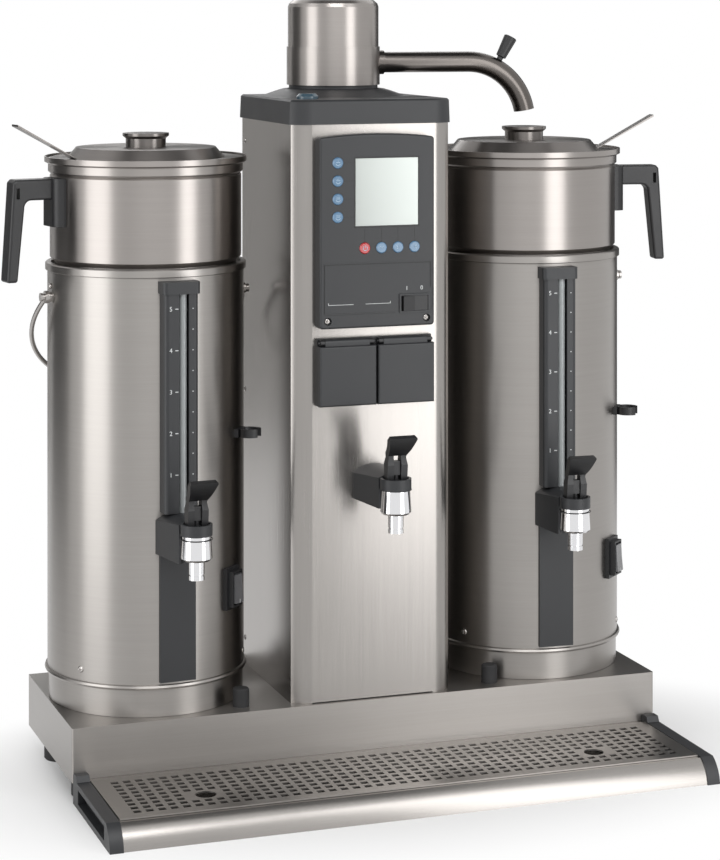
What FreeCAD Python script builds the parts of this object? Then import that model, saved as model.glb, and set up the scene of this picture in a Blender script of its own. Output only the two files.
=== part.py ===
import FreeCAD, Part
import math
import os
import Sketcher

# Filter coffee brewer: a base with a boiler column, a swivelling spout, two insulated containers
# with filter pans on top, and a drip tray. Millimetres, +Z up, front towards -Y.
# The origin is the middle of the footprint, on the ground.

os.makedirs("parts", exist_ok=True)
doc = FreeCAD.newDocument("filter_coffee_brewer")

SIZES = {
    # Whole machine
    "axis_back": 82.16,
    "sheet_gauge": 1.5,
    "seat_gap": 0.3,
    "slide_gap": 0.3,
    "pin_gap": 0.1,
    # Base housing
    "base_width": 682,
    "base_front": 119.5,
    "base_back": 108.7,
    "base_floor": 21.5,
    "base_height": 57.9,
    "base_flange": 24,
    "base_round": 2,
    "foot_radius": 17,
    "foot_inset": 21.5,
    "foot_front_inset": 23.5,
    "foot_rear_inset": 66.7,
    "foot_chamfer": 2,
    "peg_radius": 9,
    "peg_height": 20,
    "peg_bevel": 1.2,
    "peg_gap": 54.3,
    "peg_inset": 24.5,
    # Column
    "column_half": 92.7,
    "face_bulge": 9.5,
    "face_setback": 5.3,
    "column_back_step": 24.7,
    "column_height": 637.2,
    "face_slant": 21.9,
    "cover_return": 15,
    "cover_lift": 1.2,
    # Column lid with its dome
    "lid_height": 27.2,
    "lid_overhang": 1.9,
    "lid_wall": 3,
    "lid_draft": 2,
    "lid_bevel": 2,
    "dome_inset": 10.7,
    "dome_rise": 8.5,
    "dome_shoulder": 15,
    "dome_ring": 51.5,
    "dome_ring_height": 3.6,
    "button_inset": 27.7,
    "button_setback": 35.2,
    "button_cap_radius": 12.3,
    "button_cap_height": 6,
    "button_cap_bevel": 3,
    "button_cap_well": 2.6,
    "button_cap_stem": 4,
    "button_cap_stem_length": 9,
    "button_cap_travel": 2,
    # Boiler in the column
    "tank_radius": 66,
    "tank_y": 0,
    "tank_lift": 30.6,
    "tank_height": 360,
    "tank_wall": 2,
    "tank_shoulder": 18,
    "skirt_step": 6,
    "riser_radius": 9,
    "spindle_radius": 18,
    "spindle_length": 52,
    "spindle_gap": 0.1,
    "heater_flange_radius": 38,
    "heater_flange_height": 6,
    "heater_flange_lap": 8,
    "heater_rod": 4.5,
    "heater_half": 16,
    "heater_depth": 12.8,
    "heater_height": 230,
    "inlet_inset": 30.7,
    "inlet_rise": 38.6,
    "inlet_thread": 13.2,
    "inlet_thread_length": 15.5,
    "inlet_shoulder": 0.5,
    "inlet_neck": 12.6,
    "inlet_body": 26,
    "inlet_nut": 19,
    "inlet_nut_height": 8,
    "inlet_coil_radius": 12,
    "inlet_coil_length": 30,
    # Spout arm
    "head_back": 24,
    "head_height": 43.9,
    "cap_height": 54,
    "head_overhang": 2.5,
    "cap_step": 1.4,
    "cap_slope": 6,
    "cap_bevel": 4,
    "cap_round": 1.3,
    "cap_round_height": 4,
    "spout_rise": 25.4,
    "spout_radius": 12,
    "spout_wall": 1.5,
    "spout_socket": 14,
    "collar_wall": 2,
    "collar_seat": 2,
    "collar_length": 7.4,
    "spout_bend": 70,
    "spout_sweep": 79.5,
    "grip_bearing": 28,
    "grip_neck": 3.5,
    "grip_neck_length": 3,
    "grip_low": 6,
    "grip_high": 7.8,
    "grip_length": 27,
    # Control panel
    "panel_half": 67.2,
    "panel_height": 209.7,
    "panel_drop": 14.1,
    "panel_arch": 4,
    "panel_depth": 15.2,
    "panel_corner": 4,
    "panel_round": 2.5,
    "panel_box_inset": 7.5,
    "panel_box_depth": 22,
    "display_left": -25.9,
    "display_width": 73.8,
    "display_height": 75.1,
    "display_drop": 22.7,
    "display_recess": 1.2,
    "display_thick": 0.9,
    "key_radius": 6.2,
    "key_proud": 1.6,
    "key_bevel": 1,
    "key_depth": 7,
    "key_travel": 1,
    "key_column_x": -46.4,
    "key_column_drop": 27.5,
    "key_column_pitch": 19.9,
    "key_row_drop": 24.1,
    "key_row_left": -15,
    "key_row_pitch": 19.45,
    "plate_left_inset": 4.2,
    "plate_right_inset": 2.7,
    "plate_lift": 16.7,
    "plate_height": 55.8,
    "plate_recess": 0.4,
    "power_width": 36,
    "power_inset": 5.7,
    "power_lift": 14.7,
    "power_height": 21,
    "power_frame": 2.4,
    "power_frame_proud": 1,
    "power_end_gap": 0.8,
    "power_recess": 8,
    "power_proud": 2.2,
    "power_tilt": 7,
    "screw_inset": 9.5,
    "screw_lift": 8.4,
    "screw_recess_radius": 4.4,
    "screw_recess": 3,
    # Sockets under the panel and their hinged flaps
    "flap_inset": 0.2,
    "flap_middle_gap": 2,
    "flap_height": 66,
    "flap_drop": 19.3,
    "flap_depth": 10.5,
    "flap_wall": 3,
    "flap_round": 2,
    "socket_plate": 5,
    "socket_box_inset": 8,
    "socket_box_depth": 22,
    "socket_well_radius": 19.5,
    "socket_well_depth": 17,
    "socket_pin_radius": 2.6,
    "socket_pin_half": 9.5,
    "socket_pin_depth": 3,
    "hinge_radius": 3.6,
    "hinge_pin": 1.5,
    "hinge_ear": 5,
    "hinge_rise": 8,
    # Taps, the same on the column and on each container
    "hot_tap_out": 73.8,
    "hot_tap_rise": 219.1,
    "hot_bracket_lift": 4.7,
    "hot_bracket_height": 37.3,
    "can_tap_out": 63.3,
    "can_tap_rise": 181.8,
    "can_bracket_drop": 4.8,
    "can_bracket_height": 45.2,
    "bracket_half": 24,
    "bracket_nose": 15.5,
    "bracket_wrap": 9,
    "tap_low_radius": 16.8,
    "tap_taper": 1.4,
    "tap_height": 26.5,
    "tap_chamfer": 2.5,
    "tap_chamber": 10,
    "tap_seat": 5,
    "nozzle_radius": 8.4,
    "nozzle_wall": 2.4,
    "nozzle_drop": 20.5,
    "nozzle_band": 4.5,
    "nozzle_groove": 0.8,
    "shank_radius": 8,
    "bonnet_radius": 16.9,
    "bonnet_height": 12,
    "bonnet_rim": 2.6,
    "bonnet_dish_depth": 2,
    "stem_radius": 3,
    "stem_gap": 0.3,
    "seal_gap": 0.8,
    "stem_seal_height": 4,
    "stem_head_half": 3.9,
    "stem_head_bottom": 4,
    "pin_above_bonnet": 15,
    "pin_radius": 1.5,
    "fork_half": 11.5,
    "fork_slot_half": 4.2,
    "fork_boss": 6.5,
    "cam_gap": 0.4,
    "cam_half": 5,
    "paddle_half": 15.8,
    "paddle_low": 10,
    "paddle_high": 34,
    "paddle_lean": 23,
    "paddle_thick": 5,
    # Containers
    "can_gap": 27.5,
    "can_turn": 3.7,
    "can_radius": 109.7,
    "can_height": 482.7,
    "can_rim_bead": 2.4,
    "can_rim_height": 9,
    "can_rim_bevel": 1,
    "can_bead_height": 32.2,
    "can_bead": 3,
    "can_foot_step": 1.3,
    "can_floor_height": 6,
    "can_socket_radius": 24,
    "outlet_inset": 24.5,
    "can_ledge_drop": 4.4,
    "neck_step": 12.7,
    "neck_height": 22,
    "liner_step": 25.2,
    "shoulder_height": 12,
    "liner_lift": 3,
    "liner_dish": 6,
    "wall_root": 6,
    "gauge_half": 19.4,
    "gauge_out": 15.8,
    "gauge_drop": 12,
    "gauge_cap_height": 13,
    "gauge_cap_proud": 1.8,
    "gauge_round": 5,
    "gauge_slot_x": 2.5,
    "gauge_slot_half": 5.6,
    "gauge_slot_depth": 11,
    "glass_radius": 4.4,
    "glass_wall": 1.4,
    "glass_seat": 4,
    "strip_half": 20.2,
    "strip_gap": 2.6,
    "strip_thick": 3,
    "switch_bearing": 43,
    "switch_half": 13.5,
    "switch_rise": 104.6,
    "switch_height": 46,
    "switch_plate": 4,
    "switch_frame": 10,
    "switch_frame_inset": 3.5,
    "switch_recess": 7,
    "switch_wall": 2,
    "switch_proud": 3,
    "switch_end_gap": 1,
    "switch_tilt": 8,
    "clip_bearing": 54,
    "clip_rise": 295.6,
    "clip_height": 9,
    "clip_outer": 12.5,
    "clip_wall": 4,
    "clip_out": 14,
    "clip_mouth": 6,
    "clip_foot_half": 11,
    "clip_foot_thick": 4,
    "ear_drop": 36.4,
    "ear_radius": 4,
    "ear_length": 9.9,
    "ear_head_radius": 5,
    "ear_head_length": 2.5,
    "ear_flange": 5.5,
    "ear_flange_length": 2.5,
    "bail_gap": 5,
    "bail_bulge": 7,
    "bail_wire": 2.6,
    "bail_eye": 7,
    "bail_eye_half": 2.4,
    "bail_rest_gap": 2,
    # Filter pans on the containers
    "pan_inset": 2.7,
    "pan_base_step": 8.5,
    "pan_lift": 2,
    "pan_height": 115.6,
    "pan_rim_step": 6,
    "pan_rim_height": 7,
    "pan_bulge": 2,
    "pan_bulge_drop": 18,
    "pan_groove": 1.4,
    "pan_groove_height": 3,
    "pan_spout_radius": 11,
    "pan_spout_drop": 12,
    "pan_spout_wall": 3,
    "pan_ledge_drop": 3.8,
    "handle_bearing": 10,
    "handle_saddle_half": 21.5,
    "handle_saddle_lift": 41,
    "handle_saddle_out": 10.5,
    "handle_drop": 22,
    "handle_arm_depth": 23,
    "handle_half": 11,
    "handle_out": 55,
    "handle_grip_length": 112,
    "handle_flare": 7,
    "handle_grip_thick": 13.5,
    "handle_corner_round": 3.5,
    "handle_inner_round": 8,
    "handle_taper": 1,
    "handle_edge_round": 3,
    "handle_slot_inset": 5.5,
    "handle_slot_drop": 15,
    "handle_slot_radius": 2,
    "handle_slot_half": 6,
    # Pan lids
    "pan_lid_gap": 2.3,
    "brim_width": 21.7,
    "cone_width": 9.9,
    "pan_lid_rise": 13,
    "knob_waist": 22.5,
    "knob_overhang": 3.5,
    "knob_height": 15.5,
    "knob_lip": 3,
    "strip_handle_inset": 3.5,
    "strip_handle_overhang": 46.8,
    "strip_handle_rise": 28.5,
    "strip_handle_half": 9,
    # Drip tray
    "cap_setback": 1,
    "tray_depth": 166,
    "tray_floor": 1.5,
    "tray_ledge": 25,
    "tray_rear_ledge": 16,
    "tray_lip_width": 11,
    "tray_lip_round": 17.6,
    "tray_lip_bulge": 34,
    "tray_foot": 5,
    "cap_width": 14.5,
    "cap_rise": 2,
    "cap_rear_rise": 6,
    "cap_rear_depth": 17,
    "cap_rear_bevel": 3,
    "cap_shelf": 9,
    "cap_proud": 1.4,
    "cap_recess": 9,
    "cap_recess_edge": 6,
    "grille_rear_gap": 11.5,
    "grille_lap": 7,
    "grille_end_gap": 1.2,
    "grille_pitch_x": 13.13,
    "grille_pitch_y": 12.25,
    "grille_slot_x": 8,
    "grille_slot_y": 7.2,
    "grille_rear_margin": 18,
    "grille_end_margin": 19.5,
    "finger_radius": 11,
    "finger_x": 221,
    "finger_inset": 86,
}

sheet = doc.addObject("Spreadsheet::Sheet", "Sizes")
for row, (alias, number) in enumerate(SIZES.items(), 1):
    sheet.set(f"A{row}", alias)
    sheet.set(f"B{row}", str(number))
    sheet.setAlias(f"B{row}", alias)
doc.recompute()


class Size:
    """A length or an angle: its number, and the formula over the sheet's cells that gives it."""

    def __init__(self, value, text):
        self.value = value
        self.text = text

    def __add__(self, other):
        other = size(other)
        return Size(self.value + other.value, f"({self.text} + {other.text})")

    def __sub__(self, other):
        other = size(other)
        return Size(self.value - other.value, f"({self.text} - {other.text})")

    def __mul__(self, other):
        other = size(other)
        return Size(self.value * other.value, f"({self.text} * {other.text})")

    def __truediv__(self, other):
        other = size(other)
        return Size(self.value / other.value, f"({self.text} / {other.text})")

    def __radd__(self, other):
        return size(other) + self

    def __rsub__(self, other):
        return size(other) - self

    def __rmul__(self, other):
        return size(other) * self

    def __neg__(self):
        return Size(-self.value, f"(0 - {self.text})")


class Cells:
    """The sheet's cells, read by name, and the places that are worked out from them."""

    def __getattr__(self, alias):
        return Size(float(sheet.get(alias)), f"Sizes.{alias}")


def size(number):
    """A plain number as a Size; a Size is returned as it is."""
    return number if isinstance(number, Size) else Size(float(number), f"{number:.6f}")


ZERO = size(0).text


def sine(angle):
    return Size(math.sin(math.radians(angle.value)), f"sin({angle.text} * 1 deg)")


def cosine(angle):
    return Size(math.cos(math.radians(angle.value)), f"cos({angle.text} * 1 deg)")


def root(square):
    return Size(math.sqrt(square.value), f"sqrt({square.text})")


def bearing(run, rise):
    """The angle whose tangent is rise over run."""
    return Size(math.degrees(math.atan2(rise.value, run.value)), f"(atan2({rise.text}; {run.text}) / 1 deg)")


s = Cells()
parts = []

# Places worked out from the sizes

s.base_top = s.base_floor + s.base_height
s.peg_x = s.column_half + s.peg_gap
s.peg_y = s.base_front - s.peg_inset
s.foot_front = s.base_front - s.foot_front_inset
s.foot_rear = s.base_back - s.foot_rear_inset
s.column_face = s.base_front - s.face_setback
s.column_corner = s.column_face - s.face_bulge
s.column_back = s.base_back - s.column_back_step
s.column_top = s.base_top + s.column_height
s.face_half = s.column_half - s.face_slant
s.dome_foot = s.column_half - s.dome_inset
s.button_cap_x = -(s.column_half - s.button_inset)
s.button_cap_y = -(s.column_face - s.button_setback)
s.tank_bottom = s.base_top + s.tank_lift
s.tank_top = s.tank_bottom + s.tank_height
s.skirt_radius = s.tank_radius - s.skirt_step
s.heater_bore = s.heater_flange_radius - s.heater_flange_lap
s.inlet_x = s.column_half - s.inlet_inset
s.inlet_z = s.base_top + s.inlet_rise
s.head_bottom = s.column_top + s.lid_height + s.dome_rise + s.dome_ring_height + s.seat_gap
s.head_seam = s.head_bottom + s.head_height
s.head_top = s.head_seam + s.cap_height
s.head_radius = s.dome_ring + s.head_overhang
s.cap_radius = s.head_radius - s.cap_step
s.cap_flat = s.cap_radius - s.cap_slope
s.spout_level = s.head_bottom + s.spout_rise
s.spout_bore = s.spout_radius - s.spout_wall
s.spout_collar = s.spout_radius + s.collar_wall
s.panel_top = s.column_top - s.panel_drop
s.panel_bottom = s.panel_top - s.panel_height
s.display_right = s.display_left + s.display_width
s.display_top = s.panel_top - s.display_drop
s.display_bottom = s.display_top - s.display_height
s.key_column_top = s.panel_top - s.key_column_drop
s.key_row_z = s.display_bottom - s.key_row_drop
s.plate_left = s.plate_left_inset - s.panel_half
s.plate_right = s.panel_half - s.plate_right_inset
s.plate_bottom = s.panel_bottom + s.plate_lift
s.plate_top = s.plate_bottom + s.plate_height
s.power_right = s.panel_half - s.power_inset
s.power_left = s.power_right - s.power_width
s.power_bottom = s.panel_bottom + s.power_lift
s.power_top = s.power_bottom + s.power_height
s.screw_half = s.panel_half - s.screw_inset
s.screw_z = s.panel_bottom + s.screw_lift
s.flap_half = s.panel_half - s.flap_inset
s.flap_top = s.panel_bottom - s.flap_drop
s.flap_bottom = s.flap_top - s.flap_height
s.hot_tap_reach = s.column_face + s.hot_tap_out
s.hot_tap_level = s.base_top + s.hot_tap_rise
s.hot_bracket_bottom = s.hot_tap_level + s.hot_bracket_lift
s.hot_bracket_top = s.hot_bracket_bottom + s.hot_bracket_height
s.can_tap_reach = s.can_radius + s.can_tap_out
s.can_tap_level = s.base_top + s.can_tap_rise
s.can_bracket_bottom = s.can_tap_level - s.can_bracket_drop
s.can_bracket_top = s.can_bracket_bottom + s.can_bracket_height
s.tap_high_radius = s.tap_low_radius - s.tap_taper
s.nozzle_bore = s.nozzle_radius - s.nozzle_wall
s.bonnet_dish = s.bonnet_radius - s.bonnet_rim
s.stem_bore = s.stem_radius + s.stem_gap
s.stem_seal = s.tap_chamber - s.seal_gap
s.can_x = s.column_half + s.can_gap + s.can_radius
s.can_rim = s.base_top + s.seat_gap + s.can_height
s.can_bead_level = s.base_top + s.seat_gap + s.can_bead_height
s.can_foot_radius = s.can_radius - s.can_foot_step
s.can_ledge = s.can_rim - s.can_ledge_drop
s.can_neck_radius = s.can_radius - s.neck_step
s.can_neck_bottom = s.can_ledge - s.neck_height
s.liner_radius = s.can_radius - s.liner_step
s.can_outlet_reach = s.liner_radius - s.outlet_inset
s.liner_shoulder = s.can_neck_bottom - s.shoulder_height
s.liner_floor = s.can_tap_level + s.tap_height / 2 + s.shank_radius + s.liner_lift
s.gauge_front = s.can_radius + s.gauge_out
s.gauge_top = s.can_rim - s.gauge_drop
s.glass_bore = s.glass_radius - s.glass_wall
s.strip_bottom = s.can_bead_level + s.can_bead + s.strip_gap
s.switch_bottom = s.base_top + s.switch_rise
s.switch_top = s.switch_bottom + s.switch_height
s.clip_level = s.base_top + s.clip_rise
s.clip_inner = s.clip_outer - s.clip_wall
s.ear_level = s.can_rim - s.ear_drop
s.bail_half = s.can_radius + s.bail_gap
s.bail_round = s.bail_half + s.bail_bulge
s.bail_middle = root(s.bail_round * s.bail_round - s.bail_half * s.bail_half)
s.bail_reach = s.bail_middle + s.bail_round
s.bail_rest = s.can_radius + s.bail_wire + s.bail_rest_gap
s.bail_hang = bearing(s.bail_rest, root(s.bail_reach * s.bail_reach - s.bail_rest * s.bail_rest))
s.pan_radius = s.can_radius - s.pan_inset
s.pan_base_radius = s.pan_radius - s.pan_base_step
s.pan_body_bottom = s.can_rim + s.pan_lift
s.pan_rim = s.pan_body_bottom + s.pan_height
s.pan_rim_radius = s.pan_radius + s.pan_rim_step
s.pan_bulge_radius = s.pan_radius + s.pan_bulge
s.pan_bulge_bottom = s.pan_rim - s.pan_bulge_drop
s.pan_groove_radius = s.pan_radius - s.pan_groove
s.pan_spout_bore = s.pan_spout_radius - s.pan_spout_wall
s.pan_ledge = s.pan_rim - s.pan_ledge_drop
s.handle_saddle_bottom = s.pan_body_bottom + s.handle_saddle_lift
s.handle_top = s.pan_rim - s.handle_drop
s.handle_corner = s.pan_radius + s.handle_out
s.handle_grip_bottom = s.handle_top - s.handle_grip_length
s.handle_grip_out = s.handle_corner + s.handle_flare
s.handle_slot_x = s.handle_corner - s.handle_slot_inset
s.pan_lid_brim = s.pan_rim_radius - s.sheet_gauge - s.pan_lid_gap
s.pan_lid_cone_low = s.pan_lid_brim - s.brim_width
s.pan_lid_cone_high = s.pan_lid_cone_low - s.cone_width
s.knob_radius = s.knob_waist + s.knob_overhang
s.strip_handle_root = s.pan_lid_cone_low - s.strip_handle_inset
s.strip_handle_out = s.pan_lid_brim + s.strip_handle_overhang
s.tray_half = s.base_width / 2 - s.cap_setback - s.cap_width
s.tray_front = s.base_front + s.tray_depth
s.tray_lip_front = s.tray_front - s.tray_lip_round
s.tray_lip_back = s.tray_lip_front - s.tray_lip_width
s.cap_tall = s.tray_ledge + s.cap_rise
s.cap_rear_tall = s.cap_tall + s.cap_rear_rise
s.grille_back = s.base_front + s.grille_rear_gap
s.grille_front = s.tray_lip_back + s.grille_lap
s.grille_first_row = s.grille_back + s.grille_rear_margin
s.grille_last_column = s.tray_half - s.grille_end_gap - s.grille_end_margin
s.finger_y = s.grille_back + s.finger_inset


def bind(thing, name, number):
    """Ties a property or a constraint to the sheet."""
    thing.setExpression(name, size(number).text)


def new_body(label):
    body = doc.addObject("PartDesign::Body", label)
    body.Label = label
    return body


def finished(piece):
    """Adds a piece to those that are written out."""
    parts.append(piece)
    return piece


def place(body, x=0, y=0, z=0, turn=0):
    """Stands a body at a point given from the column's axis, turned about its own upright axis."""
    turn = size(turn)
    body.Placement = FreeCAD.Placement(
        FreeCAD.Vector(0, 0, 0), FreeCAD.Rotation(FreeCAD.Vector(0, 0, 1), turn.value or 1)
    )
    bind(body, "Placement.Rotation.Angle", turn)
    bind(body, "Placement.Base.x", x)
    bind(body, "Placement.Base.y", s.axis_back + y)
    bind(body, "Placement.Base.z", z)
    return body


def plane_of(body, role):
    return next(f for f in body.Origin.OriginFeatures if f.Role == role)


def new_sketch(body, role, up=0, tilt=None, about=(1, 0, 0), right=0, rise=0):
    """A sketch on one of the body's own planes: tilted, raised along the plane's normal, and moved
    to the right and up within the plane."""
    sketch = body.newObject("Sketcher::SketchObject", f"{body.Name}_sketch")
    sketch.AttachmentSupport = [(plane_of(body, role), "")]
    sketch.MapMode = "FlatFace"
    if tilt is not None:
        sketch.AttachmentOffset = FreeCAD.Placement(
            FreeCAD.Vector(0, 0, 0), FreeCAD.Rotation(FreeCAD.Vector(*about), tilt.value)
        )
        bind(sketch, "AttachmentOffset.Rotation.Angle", tilt)
    for axis, number in (("x", right), ("y", rise), ("z", up)):
        if size(number).text != ZERO:
            bind(sketch, f"AttachmentOffset.Base.{axis}", number)
    return sketch


def pin_point(sketch, shape, end, x, y):
    """Holds one point of a sketch at x, y."""
    for kind, number, axis in (("DistanceX", size(x), -2), ("DistanceY", size(y), -1)):
        if number.text == ZERO:
            sketch.addConstraint(Sketcher.Constraint("PointOnObject", shape, end, axis))
        else:
            index = sketch.addConstraint(Sketcher.Constraint(kind, -1, 1, shape, end, number.value))
            bind(sketch, f"Constraints[{index}]", number)


def hold_radius(sketch, shape, radius):
    index = sketch.addConstraint(Sketcher.Constraint("Radius", shape, abs(radius.value)))
    bind(sketch, f"Constraints[{index}]", radius if radius.value > 0 else -radius)


def draw_chain(sketch, corners, closed=True):
    """Lines and arcs from corner to corner. A corner is x, y, and a radius where the stretch after
    it is an arc: more than zero bulges to the left of the way along, less than zero to the right."""
    points = [FreeCAD.Vector(size(c[0]).value, size(c[1]).value, 0) for c in corners]
    count = len(corners) if closed else len(corners) - 1
    first = sketch.GeometryCount
    for i in range(count):
        start, end = points[i], points[(i + 1) % len(points)]
        if len(corners[i]) > 2:
            sketch.addGeometry(arc_between(start, end, size(corners[i][2]).value), False)
        else:
            sketch.addGeometry(Part.LineSegment(start, end), False)
    for i in range(count):
        shape = sketch.Geometry[first + i]
        begins = end_near(shape, points[i])
        pin_point(sketch, first + i, begins, corners[i][0], corners[i][1])
        if len(corners[i]) > 2:
            hold_radius(sketch, first + i, size(corners[i][2]))
        if closed or i + 1 < count:
            after = first + (i + 1) % count
            meets = end_near(sketch.Geometry[after], points[(i + 1) % len(points)])
            joint = Sketcher.Constraint("Coincident", first + i, 3 - begins, after, meets)
            sketch.addConstraint(joint)
        else:
            pin_point(sketch, first + i, 3 - begins, corners[-1][0], corners[-1][1])


def arc_between(start, end, radius):
    """An arc drawn the way round that sketches keep them, which is against the clock."""
    half = (end - start).Length / 2
    left = FreeCAD.Vector(start.y - end.y, end.x - start.x, 0).normalize()
    centre = (start + end) * 0.5 - left * math.copysign(math.sqrt(radius**2 - half**2), radius)
    first, last = (end, start) if radius > 0 else (start, end)
    angles = [math.atan2(p.y - centre.y, p.x - centre.x) for p in (first, last)]
    return Part.ArcOfCircle(Part.Circle(centre, FreeCAD.Vector(0, 0, 1), abs(radius)), *angles)


def end_near(shape, point):
    """1 for a stretch that starts at the point, 2 for one that ends there."""
    return 1 if (shape.StartPoint - point).Length < (shape.EndPoint - point).Length else 2


def outline(body, role, corners, up=0):
    sketch = new_sketch(body, role, up)
    draw_chain(sketch, corners)
    return sketch


def rectangle(body, role, left, low, right, high, up=0):
    return outline(body, role, [(left, low), (right, low), (right, high), (left, high)], up)


def circles(body, role, rounds, up=0, **moved):
    """Circles, each given as x, y and radius."""
    sketch = new_sketch(body, role, up, **moved)
    for i, (x, y, radius) in enumerate(rounds):
        radius = size(radius)
        centre = FreeCAD.Vector(size(x).value, size(y).value, 0)
        sketch.addGeometry(Part.Circle(centre, FreeCAD.Vector(0, 0, 1), radius.value), False)
        pin_point(sketch, i, 3, x, y)
        hold_radius(sketch, i, radius)
    return sketch


def mirrored(corners):
    """A chain of corners on the right of the upright axis, closed by the same corners on the left."""
    left = []
    for before, corner in zip([()] + corners, corners):
        if size(corner[0]).value:
            left.insert(0, (-size(corner[0]), corner[1], *before[2:]))
    return corners + left


def pad(body, sketch, length, back=False, both=False, draft=None):
    feature = body.newObject("PartDesign::Pad", f"{body.Name}_pad")
    feature.Profile = sketch
    feature.Reversed = back
    feature.Midplane = both
    bind(feature, "Length", length)
    if draft is not None:
        bind(feature, "TaperAngle", draft)
    return feature


def pocket(body, sketch, depth=None, back=False, both=False):
    """Cuts along the plane's normal, or against it with back; right through where no depth is given."""
    feature = body.newObject("PartDesign::Pocket", f"{body.Name}_pocket")
    feature.Profile = sketch
    feature.Reversed = not back
    feature.Midplane = both
    if depth is None:
        feature.Type = "ThroughAll"
    else:
        bind(feature, "Length", depth)
    return feature


def revolve(body, sketch, angle=None, axis="V_Axis", back=False, both=False):
    """Turns a sketch about its own upright or level axis, all the way round where no angle is given."""
    feature = body.newObject("PartDesign::Revolution", f"{body.Name}_turned")
    feature.Profile = sketch
    feature.ReferenceAxis = (sketch, [axis])
    feature.Reversed = back
    feature.Midplane = both
    feature.Angle = 360
    if angle is not None:
        bind(feature, "Angle", angle)
    return feature


def dress(body, kind, name, number, chosen):
    """Fillets or chamfers the edges of the body that the test picks out."""
    doc.recompute()
    solid = body.Tip
    edges = [f"Edge{i}" for i, edge in enumerate(solid.Shape.Edges, 1) if chosen(edge)]
    if not edges:
        raise RuntimeError(f"{body.Label} has no edge to round")
    feature = body.newObject(f"PartDesign::{kind}", f"{body.Name}_{kind.lower()}")
    feature.Base = (solid, edges)
    bind(feature, name, number)
    return feature


def fillet(body, radius, chosen):
    return dress(body, "Fillet", "Radius", radius, chosen)


def chamfer(body, number, chosen):
    return dress(body, "Chamfer", "Size", number, chosen)


def upright(edge):
    ends = [v.Point for v in edge.Vertexes]
    return len(ends) == 2 and (ends[1] - ends[0]).Length > 1e-6 and all(
        abs(a) < 1e-6 for a in (ends[1] - ends[0])[:2]
    )


def level_with(height):
    """A test for edges that lie wholly at one height."""
    return lambda edge: all(abs(v.Point.z - size(height).value) < 1e-4 for v in edge.Vertexes)


def group(label, bodies):
    """Separate like solids that share one node."""
    bundle = doc.addObject("Part::Compound", label)
    bundle.Label = label
    bundle.Links = bodies
    return finished(bundle)


# Base housing: a folded sheet box, open below, with a flange round the mouth that carries the feet

def make_base_housing():
    body = place(new_body("base_housing"))
    half = s.base_width / 2
    gauge = s.sheet_gauge
    block = rectangle(body, "XY_Plane", -half, -s.base_front, half, s.base_back, up=s.base_floor)
    pad(body, block, s.base_top - s.base_floor)
    fillet(body, s.base_round, upright)
    hollow = rectangle(
        body, "XY_Plane", -half + gauge, -s.base_front + gauge, half - gauge, s.base_back - gauge,
        up=s.base_floor + gauge,
    )
    pocket(body, hollow, s.base_top - s.base_floor - 2 * gauge)
    rim = s.base_flange
    mouth = rectangle(
        body, "XY_Plane", -half + rim, -s.base_front + rim, half - rim, s.base_back - rim,
        up=s.base_floor,
    )
    pocket(body, mouth, 2 * gauge)
    finished(body)


def make_feet_and_pegs():
    """Rubber pieces pushed into the sheet: feet under the corners and pegs beside the containers."""
    body = place(new_body("feet_and_pegs"))
    body.AllowCompound = True
    side = s.base_width / 2 - s.foot_inset
    feet = [(x, y, s.foot_radius) for x in (-side, side) for y in (-s.foot_front, s.foot_rear)]
    pad(body, circles(body, "XY_Plane", feet), s.base_floor)
    chamfer(body, s.foot_chamfer, level_with(0))
    pegs = [(x, y, s.peg_radius) for x in (-s.peg_x, s.peg_x) for y in (-s.peg_y, s.peg_y)]
    pad(body, circles(body, "XY_Plane", pegs, up=s.base_top), s.peg_height)
    chamfer(body, s.peg_bevel, level_with(s.base_top + s.peg_height))
    finished(body)


# Column: a U-shaped shell for the sides and back, and a front cover with bent edges

def make_column_shell():
    body = place(new_body("column_shell"))
    gauge = s.sheet_gauge
    front = -s.column_corner
    inside = s.column_half - gauge
    plan = outline(body, "XY_Plane", mirrored([
        (s.column_half, front),
        (s.column_half, s.column_back),
    ]) + [
        (-inside, front),
        (-inside, s.column_back - gauge),
        (inside, s.column_back - gauge),
        (inside, front),
    ], up=s.base_top)
    pad(body, plan, s.column_top - s.base_top)
    fillet(body, s.base_round, lambda edge: upright(edge)
           and abs(edge.Vertexes[0].Point.y - s.column_back.value) < 1e-4)
    port = circles(
        body, "XZ_Plane", [(s.inlet_x, s.inlet_z, s.inlet_thread + s.slide_gap)],
        up=-s.column_back + 2 * gauge,
    )
    pocket(body, port, 4 * gauge, back=True)
    finished(body)


def bend_radius(run, rise):
    """The radius of a bend that starts level with the face and falls back by rise over its run."""
    return (run * run + rise * rise) / (2 * rise)


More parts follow.
